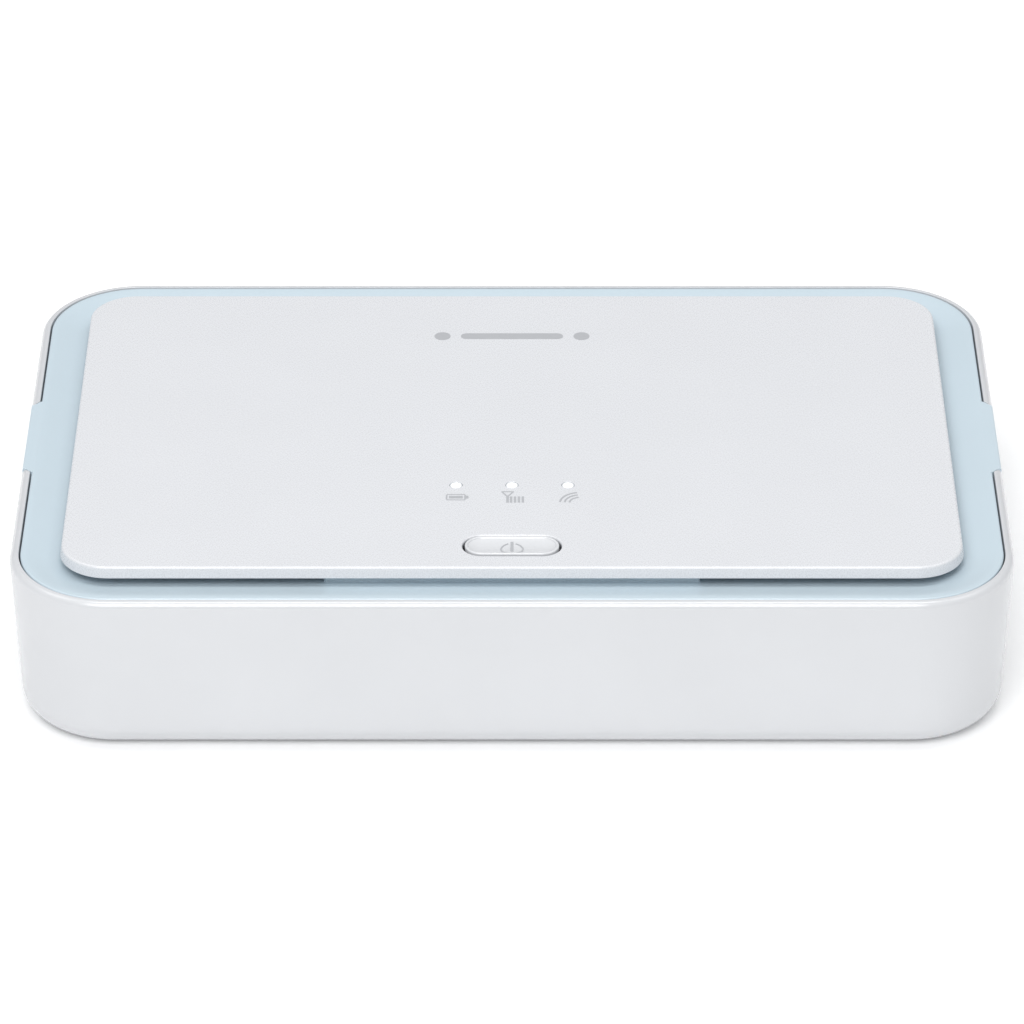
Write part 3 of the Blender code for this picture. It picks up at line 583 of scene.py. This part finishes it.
def tab(side):
    # block in a side notch, level with the drafted wall, with a rounded upper outer edge
    rim, top, radius = body["rim"], border["top"], border["tabRound"]
    levels = [(border["tabLow"], 0.0)]
    levels += [(height, inset) for inset, height in arc(radius, top - radius, radius, 180, 90, 5)]
    rings = []
    for height, shrink in levels:
        faceX = halfLength - wallInset(height, 0.0) - shrink
        rootX = halfLength - wallInset(height, border["inset"] + border["tabRoot"])
        outline = notchOutline(side, border["tabGap"], halfLength, rootX)
        rings.append([(side * min(side * x, faceX), y, height) for x, y in outline])
    return loft("tab", rings, bluePlastic)


def channels(low, high):
    half = cover["bumpHalf"] + border["channelPlay"]
    tools = []
    for sideX in (-1, 1):
        for sideY in (-1, 1):
            edges = halfWidth - border["channelInset"], halfWidth + border["channelPast"]
            near, far = sorted(sideY * edge for edge in edges)
            middle = sideX * cover["bumpX"]
            tools.append(block("channel", (middle - half, near, low), (middle + half, far, high),
                               bluePlastic))
    return tools


def makeHousing():
    lip, top, edge = border["lipRound"], border["top"], border["edge"]
    steps = border["dishSteps"]
    insets = [border["deckInset"] + (edge - border["deckInset"]) * i / steps for i in range(steps + 1)]
    profile = [(inset, dishHeight(inset)) for inset in insets]
    profile += arc(border["inset"] + lip, top - lip, lip, 80, 180, 6)
    inside = border["inset"] + border["skirtWall"]
    split = border["split"]
    profile += [(wallInset(split, border["inset"]), split), (wallInset(split, inside), split)]
    deckLow = border["deckLow"]
    profile += [(wallInset(deckLow, inside), deckLow - border["cornerFall"]),
                (inside + border["gussetRun"], deckLow - border["gussetFall"]),
                (border["deckInset"], deckLow)]
    shell = sweep("blueHousing", profile, bodyPlan, bluePlastic)
    islandLow, islandHigh, islandTop = border["island"]
    blockLow, blockHigh, blockTop = border["block"]
    root, boss, pilot = border["root"], border["boss"], border["pilot"]
    bosses, pilots = [], []
    for x in (-border["bossAt"][0], border["bossAt"][0]):
        for y in (-border["bossAt"][1], border["bossAt"][1]):
            bosses.append(capsule("boss", [(0.0, border["bossLow"]), (0.0, root)], (boss, boss), bluePlastic,
                                  (x, y), 8))
            pilots.append(capsule("pilot", [(0.0, border["pilotLow"]), (0.0, border["pilotTop"])],
                                  (pilot, pilot), bluePlastic, (x, y), 8))
    raised = [
        prism("island", roundedOutline(islandLow, islandHigh, border["islandRound"]), root, islandTop,
              bluePlastic),
        prism("frontBlock", roundedOutline(blockLow, blockHigh, border["blockRound"], 4), root, blockTop,
              bluePlastic),
        tab(-1), tab(1),
    ]
    join(shell, *raised, *bosses)
    low, keyAt = border["wayLow"], (0.0, key["y"])
    pocket = capsule("pocket", [(0.0, key["pocketLow"]), (0.0, border["pocketTop"])], key["pocketHalf"],
                     bluePlastic, keyAt)
    stemWay = capsule("stemWay", [(0.0, low), (0.0, key["stemTop"])], (key["stemWay"], key["stemWay"]),
                      bluePlastic, keyAt)
    lightWays = [capsule("lightWay", [(0.0, low), (0.0, border["lightWayTop"])],
                         (lights["way"], lights["way"]), bluePlastic, (x, lights["y"]))
                 for x in lights["x"]]
    usbWay = prism("usbWay", roundedOutline(*border["usbWay"], border["usbRound"], 5), *border["usbReach"],
                   bluePlastic, "X")
    pinWay = prism("pinWay", arc(0.0, border["pinHeight"], border["pinWay"], 0, 337.5, 15),
                   *border["pinReach"], bluePlastic, "X")
    cut(shell, pocket, stemWay, usbWay, pinWay, *lightWays, *pilots,
        *channels(split - 1, border["channelTop"]))
    soften(shell, border["crispEdge"])
    stand(shell, "device", "border_blue", "upper_housing")


plate = {
    "corner": 5.0, "cornerSteps": 20, "edgeRound": 0.28, "footRound": 0.06, "lean": 0.14, "grow": 0.16,
    "slotRound": 0.2, "holeRound": 0.05, "centreInset": 3.0, "cutPast": 1,
}


def flaredCutter(name, half, centre, radius, material, steps=12):
    # cutter whose top flares outwards, so that it leaves a rounded edge on the plate
    top = plateHigh[2]
    flare = arc(-radius, top - radius, radius, 0, 90, 6)
    past = plate["cutPast"]
    return capsule(name, [(0.0, plateLow[2] - past), *flare, (-radius, top + past)], half, material, centre,
                   steps)


def makePlate():
    low, top, edge, foot = plateLow[2], plateHigh[2], plate["edgeRound"], plate["footRound"]
    centre = plate["centreInset"]
    profile = [(centre, low), *arc(foot, low + foot, foot, 270, 180, 3),
               *arc(edge + plate["lean"], top - edge, edge, 172, 90, 8), (centre, top)]
    length, width = (plateHigh[axis] - plateLow[axis] + 2 * plate["grow"] for axis in (0, 1))
    shell = sweep("topPlate", profile, (length, width, plate["corner"], plate["cornerSteps"]), platePlastic)
    tools = [flaredCutter("slot", key["slotHalf"], (0.0, key["y"]), plate["slotRound"], platePlastic)]
    hole = (lights["hole"], lights["hole"])
    tools += [flaredCutter("hole", hole, (x, lights["y"]), plate["holeRound"], platePlastic)
              for x in lights["x"]]
    cut(shell, *tools)
    soften(shell, 0.0)
    stand(shell, "device", "cover_white", "top_plate")


def scoopHeight(inset):
    # height of the key's face, from the inner edge of its lip to its middle
    reach = key["half"][1] - key["lipWidth"]
    share = max(0.0, min(1.0, (key["half"][1] - inset) / reach))
    return key["lipTop"] - key["crease"] - key["scoop"] * (1 - share ** 2)


def makeKey():
    lip, width, top, crease = key["lipRound"], key["lipWidth"], key["lipTop"], key["crease"]
    flange = key["flange"]
    profile = [(-flange, key["flangeLow"]), (-flange, key["flangeTop"]), (0.0, key["flangeTop"])]
    profile += arc(lip, top - lip, lip, 180, 20, 10)
    deep, steps = top - crease - key["creaseDeep"], key["faceSteps"]
    profile += [(width - 0.03, deep), (width - 0.01, deep)]
    insets = [width + (key["half"][1] - key["faceEnd"] - width) * i / steps for i in range(steps + 1)]
    profile += [(inset, scoopHeight(inset)) for inset in insets]
    piece = capsule("powerKey", profile, key["half"], keyPlastic, (0.0, key["y"]), 24)
    low, rounding = key["stemLow"], key["stemRound"]
    stem = capsule("stem", [(rounding, low), (0.0, low + rounding), (0.0, key["stemTop"])],
                   (key["stem"], key["stem"]), keyPlastic, (0.0, key["y"]))
    join(piece, stem)
    soften(piece, 0.0)
    stand(piece, "power_button", "button_gloss", "power_button")


def makeLightPipes():
    dome, top, pipe = lights["dome"], lights["top"], lights["pipe"]
    profile = [(0.0, lights["low"]), (0.0, top - dome)]
    profile += [(pipe * (1 - math.cos(turn)), top - dome + dome * math.sin(turn)) for turn in
                [math.radians(12 * i) for i in range(1, 8)]]
    pipes = [capsule("pipe", profile, (pipe, pipe), pipeClear, (x, lights["y"])) for x in lights["x"]]
    low, high = cadMm("light_guide")
    bridge = prism("bridge", roundedOutline((low[0], low[1]), (high[0], high[1]), lights["bridgeRound"]),
                   lights["bridgeLow"], lights["bridgeTop"], pipeClear)
    join(bridge, *pipes)
    soften(bridge, 0.0)
    bridge.name = "lightPipes"
    stand(bridge, "device", "light_clear", "light_guide")


ink = {"thick": 0.012, "sink": 0.004, "layer": 0.0008}


def inkShape(outline, top, layer=0):
    # shapes that cross each other lie on different layers, so no two faces coincide
    return prism("ink", outline, top - ink["sink"], top + ink["thick"] + layer * ink["layer"], printGrey)


def arcBand(centre, radius, stroke, start, end, steps=16):
    outer = arc(centre[0], centre[1], radius + stroke / 2, start, end, steps)
    inner = arc(centre[0], centre[1], radius - stroke / 2, end, start, steps)
    return outer + inner


def strip(first, second, stroke):
    # straight stroke from one point to another
    along = (Vector(second) - Vector(first)).normalized()
    across = Vector((-along.y, along.x)) * stroke / 2
    ends = ((first, -1), (second, -1), (second, 1), (first, 1))
    return [tuple(Vector(point) + sign * across) for point, sign in ends]


batterySign = {"centre": (-5.66, -14.6), "half": (0.93, 0.54), "stroke": 0.17,
               "bar": (0.7, 0.25), "tip": (0.26, 0.28)}
signalSign = {"mast": (-0.45, -15.68), "top": -13.42, "apex": -14.45, "halfTop": 0.63, "stroke": 0.18,
              "bars": 4, "barStart": -0.22, "barStep": 0.395, "barWidth": 0.25, "barHeight": 1.22}
radioSign = {"centre": (6.89, -15.74), "radii": (1.11, 1.59, 2.07), "stroke": 0.2, "start": 99, "end": 175}
plainMark = {"centre": (0.0, 19.25), "half": (5.4, 0.62), "dot": 0.85, "dotX": 7.35}


def makeSigns():
    top = plateHigh[2]
    shapes = []
    x, y = batterySign["centre"]
    halfX, halfY = batterySign["half"]
    stroke = batterySign["stroke"]
    shapes.append(strip((x - halfX, y + halfY), (x + halfX, y + halfY), stroke))
    shapes.append(strip((x - halfX, y - halfY), (x + halfX, y - halfY), stroke))
    shapes.append(strip((x - halfX, y - halfY + stroke / 2), (x - halfX, y + halfY - stroke / 2), stroke))
    shapes.append(strip((x + halfX, y - halfY + stroke / 2), (x + halfX, y + halfY - stroke / 2), stroke))
    barX, barY = batterySign["bar"]
    shapes.append(strip((x - barX, y), (x + barX, y), 2 * barY))
    tipX, tipY = batterySign["tip"]
    shapes.append(strip((x + halfX + stroke / 2, y), (x + halfX + stroke / 2 + tipX, y), 2 * tipY))
    mastX, mastLow = signalSign["mast"]
    width, high, stroke = signalSign["halfTop"], signalSign["top"], signalSign["stroke"]
    shapes.append(strip((mastX - width, high - stroke / 2), (mastX + width, high - stroke / 2), stroke))
    shapes.append(strip((mastX - width + 0.1, high - stroke), (mastX - 0.03, signalSign["apex"]), stroke))
    shapes.append(strip((mastX + width - 0.1, high - stroke), (mastX + 0.03, signalSign["apex"]), stroke))
    shapes.append(strip((mastX, signalSign["apex"] + 0.1), (mastX, mastLow), 1.5 * stroke))
    for radius in radioSign["radii"]:
        shapes.append(arcBand(radioSign["centre"], radius, radioSign["stroke"], radioSign["start"],
                              radioSign["end"]))
    x, y = plainMark["centre"]
    halfX, halfY = plainMark["half"]
    shapes.append(roundedOutline((x - halfX, y - halfY), (x + halfX, y + halfY), 0.98 * halfY, 8))
    for side in (-1, 1):
        shapes.append(arc(x + side * plainMark["dotX"], y, plainMark["dot"], 0, 348.75, 31))
    solids = [inkShape(outline, top, layer) for layer, outline in enumerate(shapes)]
    low, bar = signalSign["mast"][1], signalSign["barWidth"]
    high = low + signalSign["barHeight"]
    single = inkShape([(0, low), (bar, low), (bar, high), (0, high)], top)
    solids.append(rowOf("signalBars", single, signalSign["bars"], (signalSign["barStart"], 0.0, 0.0),
                        (signalSign["barStep"], 0.0, 0.0), printGrey))
    signs = merge("plateSigns", solids, printGrey)
    stand(signs, "device", "print_grey")


def drape(piece, centreY, lift):
    # lays a thin flat sign on the key's scooped face
    shape = bmesh.new()
    shape.from_mesh(piece.data)
    middle = sum((vert.co.z for vert in shape.verts)) / len(shape.verts)
    for vert in shape.verts:
        inset = key["half"][1] - abs(vert.co.y - centreY)
        vert.co.z = scoopHeight(inset) + vert.co.z - middle + lift
    shape.to_mesh(piece.data)
    shape.free()


keySign = {"drop": 0.4, "radius": 1.1, "stroke": 0.17, "gap": 19,
           "barHalf": 0.15, "barLow": -0.55, "barHigh": 1.33}


def makeKeySign():
    centreY, crease = key["y"] - keySign["drop"], key["y"] - key["half"][1] + key["lipWidth"] + 0.03
    gap = keySign["gap"]
    ring = inkShape(arcBand((0.0, centreY), keySign["radius"], keySign["stroke"], 90 + gap, 450 - gap, 48),
                    18.0)
    cut(ring, block("below", (-3.0, centreY - 3.0, 17.0), (3.0, crease, 19.0), printGrey))
    steps, half = 12, keySign["barHalf"]
    heights = [centreY + keySign["barLow"] + (keySign["barHigh"] - keySign["barLow"]) * i / steps
               for i in range(steps + 1)]
    bar = inkShape([(half, y) for y in heights] + [(-half, y) for y in reversed(heights)], 18.0)
    sign = merge("keySign", [ring, bar], printGrey)
    drape(sign, key["y"], 0.014)
    stand(sign, "power_button", "print_grey")


def cadCopy(name, node, material):
    # merged copy of a CAD node in mm, with its flat faces whole
    mesh = frame["nodes"][node].data.copy()
    mesh.transform(Matrix.Scale(1 / mm, 4))
    piece = pieceFrom(name, mesh, material)
    shape = bmesh.new()
    shape.from_mesh(piece.data)
    bmesh.ops.dissolve_limit(shape, angle_limit=math.radians(1), verts=shape.verts, edges=shape.edges)
    shape.to_mesh(piece.data)
    shape.free()
    return piece


# each one: node, body, slot, width of its rounded edges
roundedParts = {
    "innerTray": ("lower_housing", "device", "inner_white", 0.12),
    "batteryCell": ("battery_cell", "battery", "battery_wrap", 0.35),
    "batteryCap": ("battery_end_cap", "battery", "part_black", 0.2),
    "batteryConnector": ("battery_connector", "device", "part_black", 0.15),
    "simCard": ("sim_card", "sim_card", "paper_white", 0.12),
    "simShell": ("sim_socket_shell", "device", "shield_metal", 0.06),
    "simBase": ("sim_socket_base", "device", "part_black", 0.08),
    "usbShell": ("usb_shell", "device", "shield_metal", 0.08),
    "usbTongue": ("usb_tongue", "device", "part_black", 0.1),
    "basebandShield": ("baseband_shield", "device", "shield_metal", 0.2),
    "radioShield": ("radio_shield", "device", "shield_metal", 0.2),
    "powerSwitch": ("power_switch_base", "device", "part_black", 0.12),
    "powerPlunger": ("power_switch_plunger", "power_switch_plunger", "plastic_cream", 0.1),
    "resetSwitch": ("reset_switch_base", "device", "part_black", 0.12),
    "resetPlunger": ("reset_switch_plunger", "reset_plunger", "plastic_cream", 0.08),
    "basebandChip": ("baseband_chip", "device", "part_black", 0.06),
    "memoryChip": ("memory_chip", "device", "part_black", 0.06),
    "powerChip": ("power_chip", "device", "part_black", 0.06),
    "radioChip": ("radio_chip", "device", "part_black", 0.06),
    "amplifierChip": ("amplifier_chip", "device", "part_black", 0.06),
    "wifiChip": ("wifi_chip", "device", "part_black", 0.06),
    "clockCrystal": ("clock_crystal", "device", "shield_metal", 0.12),
}


def makeRoundedParts():
    for name, (node, bodyName, slot, width) in roundedParts.items():
        piece = cadCopy(name, node, slotMaterials[slot])
        soften(piece, width)
        stand(piece, bodyName, slot, node)


screw = {"radius": 1.6, "shank": 0.75, "low": 5.75, "seat": 6.9, "top": 14.3,
         "cross": (0.95, 0.2, 0.6), "turn": 0.7, "thread": 0.12, "pitch": 0.5,
         "crown": ((0.55, 0.0), (0.25, 0.04), (0.08, 0.16), (0.0, 0.34)),
         "neck": 0.6, "point": 0.3, "taper": 0.35}


def makeScrews():
    # one cross-head screw with a ringed shank, set at the four corners by the corners tree
    low, seat, radius, shank = screw["low"], screw["seat"], screw["radius"], screw["shank"]
    # (inset, rise) points round the head's crown, then the plain neck, the rings and the point
    profile = [(inset, low + rise) for inset, rise in screw["crown"]] + [(0.0, seat), (radius - shank, seat)]
    height = seat + screw["neck"]
    while height + screw["pitch"] < screw["top"] - screw["point"]:
        profile += [(radius - shank, height), (radius - shank + screw["thread"], height + screw["pitch"] / 2)]
        height += screw["pitch"]
    profile += [(radius - shank, height), (radius - shank + screw["taper"], screw["top"])]
    one = capsule("screw", profile, (radius, radius), screwSteel, steps=10)
    long, thin, deep = screw["cross"]
    cut(one, block("slot", (-long, -thin, low - 1), (long, thin, low + deep), screwSteel),
        block("slot", (-thin, -long, low - 1), (thin, long, low + deep), screwSteel))
    first, last = cadMm("housing_screw_1"), cadMm("housing_screw_3")
    span = [last[0][axis] - first[0][axis] for axis in (0, 1)]
    mesh = runTree(corners, one.data, {
        "Length": span[0], "Width": span[1], "Turn": screw["turn"], "Material": screwSteel})
    bpy.data.objects.remove(one)
    screws = pieceFrom("housingScrews", mesh, screwSteel)
    soften(screws, 0.0)
    stand(screws, "device", "screw_steel", *["housing_screw_" + str(i) for i in (1, 2, 3, 4)])


batteryPrint = {
    "sheetInset": (4, 5), "sheetRound": 1.5, "sheetDown": 0.03, "sheetUp": 0.05,
    "inkDown": 0.045, "bandInset": 6,
    "band": (-13, -8), "bandRound": 0.8, "rule": (30, 0.5), "rules": 6, "rulesUp": 12.5, "ruleStep": 2.6,
    "poleInset": 8, "poleY": 4.0, "poleLong": 1.2, "poleThin": 0.3, "poleLayer": 0.003,
}


def makeBatteryPrint():
    # label on the cell's under side: a pale panel, rules of print, and the poles' signs
    low, high = cadMm("battery_cell")
    under, inset = low[2], batteryPrint["bandInset"]
    sheetX, sheetY = batteryPrint["sheetInset"]
    panel = roundedOutline((low[0] + sheetX, low[1] + sheetY), (high[0] - sheetX, high[1] - sheetY),
                           batteryPrint["sheetRound"])
    sheet = prism("sheet", panel, under - batteryPrint["sheetDown"], under + batteryPrint["sheetUp"],
                  cardStock)
    stand(sheet, "battery", "paper_white")
    sheet.name = "batteryLabel"
    inkLow = under - batteryPrint["inkDown"]
    bandLow, bandHigh = batteryPrint["band"]
    band = roundedOutline((low[0] + inset, high[1] + bandLow), (high[0] - inset, high[1] + bandHigh),
                          batteryPrint["bandRound"])
    inks = [prism("band", band, inkLow, under, printGrey)]
    long, thick = batteryPrint["rule"]
    rule = prism("rule", [(0, 0), (long, 0), (long, thick), (0, thick)], inkLow, under, printGrey)
    inks.append(rowOf("rules", rule, batteryPrint["rules"],
                      (low[0] + inset, low[1] + batteryPrint["rulesUp"], 0.0),
                      (0.0, batteryPrint["ruleStep"], 0.0), printGrey))
    x, away = high[0] - batteryPrint["poleInset"], batteryPrint["poleY"]
    long, thin = batteryPrint["poleLong"], batteryPrint["poleThin"]
    for y, half in ((away, (long, thin)), (-away, (long, thin)), (away, (thin, long))):
        pole = [(x - half[0], y - half[1]), (x + half[0], y - half[1]), (x + half[0], y + half[1]),
                (x - half[0], y + half[1])]
        inks.append(prism("pole", pole, inkLow - batteryPrint["poleLayer"] * half[0], under, printGrey))
    stand(merge("batteryPrint", inks, printGrey), "battery", "print_grey")


simPads = {"x": (4.2, 8.4), "y": -13.5, "size": (3.4, 2.2), "round": 0.4, "sunk": 0.05, "proud": 0.012,
           "count": 3, "step": 2.54}


def makeSimPads():
    # the card's six gold contacts, three in each of two rows, with a thin gap between
    low, high = cadMm("sim_card")
    outline = roundedOutline((0, 0), simPads["size"], simPads["round"], 4)
    pads = []
    for x in simPads["x"]:
        single = prism("pad", outline, high[2] - simPads["sunk"], high[2] + simPads["proud"], goldPlate)
        pads.append(rowOf("padRow", single, simPads["count"], (low[0] + x, high[1] + simPads["y"], 0.0),
                          (0.0, simPads["step"], 0.0), goldPlate))
    stand(merge("simPads", pads, goldPlate), "sim_card", "contact_gold")


usbContacts = {"count": 5, "width": 0.32, "start": -1.46, "step": 0.65, "ends": (0.15, 0.3), "proud": 0.03,
               "sunk": 0.05}


def makeUsbContacts():
    # strips under the port's tongue
    low, high = cadMm("usb_tongue")
    nearEnd, farEnd = usbContacts["ends"]
    single = block("strip", (low[0] + nearEnd, 0.0, low[2] - usbContacts["proud"]),
                   (high[0] - farEnd, usbContacts["width"], low[2] + usbContacts["sunk"]), goldPlate)
    strips = rowOf("usbContacts", single, usbContacts["count"], (0.0, usbContacts["start"], 0.0),
                   (0.0, usbContacts["step"], 0.0), goldPlate)
    stand(strips, "device", "contact_gold")


bayPrint = {"round": 0.8, "ink": 0.012, "inset": 3, "bar": (0.55, 6), "bars": 18, "barStep": 1.05,
            "rule": (26, 0.45), "rules": 5, "rulesUp": 12.5, "ruleStep": 2.4}


def makeBayLabel():
    # label on the bay's roof, with a block of plain bars and a few rules
    low, high = cadMm("bay_label")
    panel = roundedOutline((low[0], low[1]), (high[0], high[1]), bayPrint["round"])
    sheet = prism("bayLabel", panel, low[2], high[2], cardStock)
    stand(sheet, "device", "paper_white", "bay_label")
    inkLow, x = low[2] - bayPrint["ink"], low[0] + bayPrint["inset"]
    wide, tall = bayPrint["bar"]
    bar = prism("bar", [(0, 0), (wide, 0), (wide, tall), (0, tall)], inkLow, low[2], printGrey)
    inks = [rowOf("bars", bar, bayPrint["bars"], (x, low[1] + bayPrint["inset"], 0.0),
                  (bayPrint["barStep"], 0.0, 0.0), printGrey)]
    wide, tall = bayPrint["rule"]
    rule = prism("rule", [(0, 0), (wide, 0), (wide, tall), (0, tall)], inkLow, low[2], printGrey)
    inks.append(rowOf("rules", rule, bayPrint["rules"], (x, low[1] + bayPrint["rulesUp"], 0.0),
                      (0.0, bayPrint["ruleStep"], 0.0), printGrey))
    stand(merge("bayPrint", inks, printGrey), "device", "print_grey")


view = {"elevation": 30.347, "distance": 584.2, "target": (0.0, -15.5, 17.4), "lens": 203.9}


def makeCamera():
    data = bpy.data.cameras.new("camera")
    data.sensor_width = 36.0
    data.lens = view["lens"]
    data.clip_start = 0.01
    camera = bpy.data.objects.new("camera", data)
    tilt = math.radians(view["elevation"])
    back = Vector((0.0, -math.cos(tilt), math.sin(tilt))) * view["distance"]
    camera.location = (Vector(view["target"]) + back) * mm
    camera.rotation_euler = (math.radians(90) - tilt, 0.0, 0.0)
    bpy.context.scene.collection.objects.link(camera)
    bpy.context.scene.camera = camera


studio = {
    "lamps": {
        "front": {"turn": 9, "rise": 51, "distance": 1.1, "size": (0.65, 0.55), "power": 6.4},
        "back": {"turn": 180, "rise": 86, "distance": 1.1, "size": (0.60, 0.36), "power": 2.8},
        "left": {"turn": 100, "rise": 58, "distance": 1.1, "size": (0.50, 0.40), "power": 1.2},
        "right": {"turn": -100, "rise": 58, "distance": 1.1, "size": (0.50, 0.40), "power": 0.9},
    },
    "sky": 0.42, "floor": (0.98, 0.98, 0.98), "floorGlow": 0.08,
}


def makeStudio():
    floorMesh = bpy.data.meshes.new("floor")
    floorMesh.from_pydata([(-3, -3, -5e-5), (3, -3, -5e-5), (3, 3, -5e-5), (-3, 3, -5e-5)], [],
                          [(0, 1, 2, 3)])
    floor = bpy.data.objects.new("floor", floorMesh)
    paper = plastic("floorPaper", studio["floor"], tint=0.004, grain=2.0, depth=0.002, roughness=(0.8, 0.9))
    shader = paper.node_tree.nodes["Principled BSDF"]
    shader.inputs["Emission Color"].default_value = (1.0, 1.0, 1.0, 1.0)
    shader.inputs["Emission Strength"].default_value = studio["floorGlow"]
    floorMesh.materials.append(paper)
    bpy.context.scene.collection.objects.link(floor)
    for name, lamp in studio["lamps"].items():
        data = bpy.data.lights.new(name, "AREA")
        data.shape = "RECTANGLE"
        data.size, data.size_y = lamp["size"]
        data.energy = lamp["power"]
        light = bpy.data.objects.new(name, data)
        turn, rise = math.radians(lamp["turn"]), math.radians(lamp["rise"])
        aim = Vector((-math.sin(turn) * math.cos(rise), -math.cos(turn) * math.cos(rise), math.sin(rise)))
        light.location = aim * lamp["distance"]
        light.rotation_euler = aim.to_track_quat("Z", "Y").to_euler()
        bpy.context.scene.collection.objects.link(light)
    world = bpy.data.worlds.new("studioWorld")
    world.use_nodes = True
    sky = world.node_tree.nodes["Background"]
    sky.inputs["Color"].default_value = (0.97, 0.985, 1.0, 1.0)
    sky.inputs["Strength"].default_value = studio["sky"]
    bpy.context.scene.world = world
    bpy.context.scene.view_settings.view_transform = "Standard"


stages = {
    "cover": (makeCover,), "blue housing": (makeHousing,), "top plate": (makePlate,),
    "power key and light pipes": (makeKey, makeLightPipes), "signs": (makeSigns, makeKeySign),
    "inner pieces": (makeRoundedParts, makeScrews, makeBatteryPrint, makeSimPads, makeUsbContacts,
                     makeBayLabel),
    "camera and studio": (makeCamera, makeStudio),
}
for stage, makers in stages.items():
    for make in makers:
        make()
    print("ready:", stage)
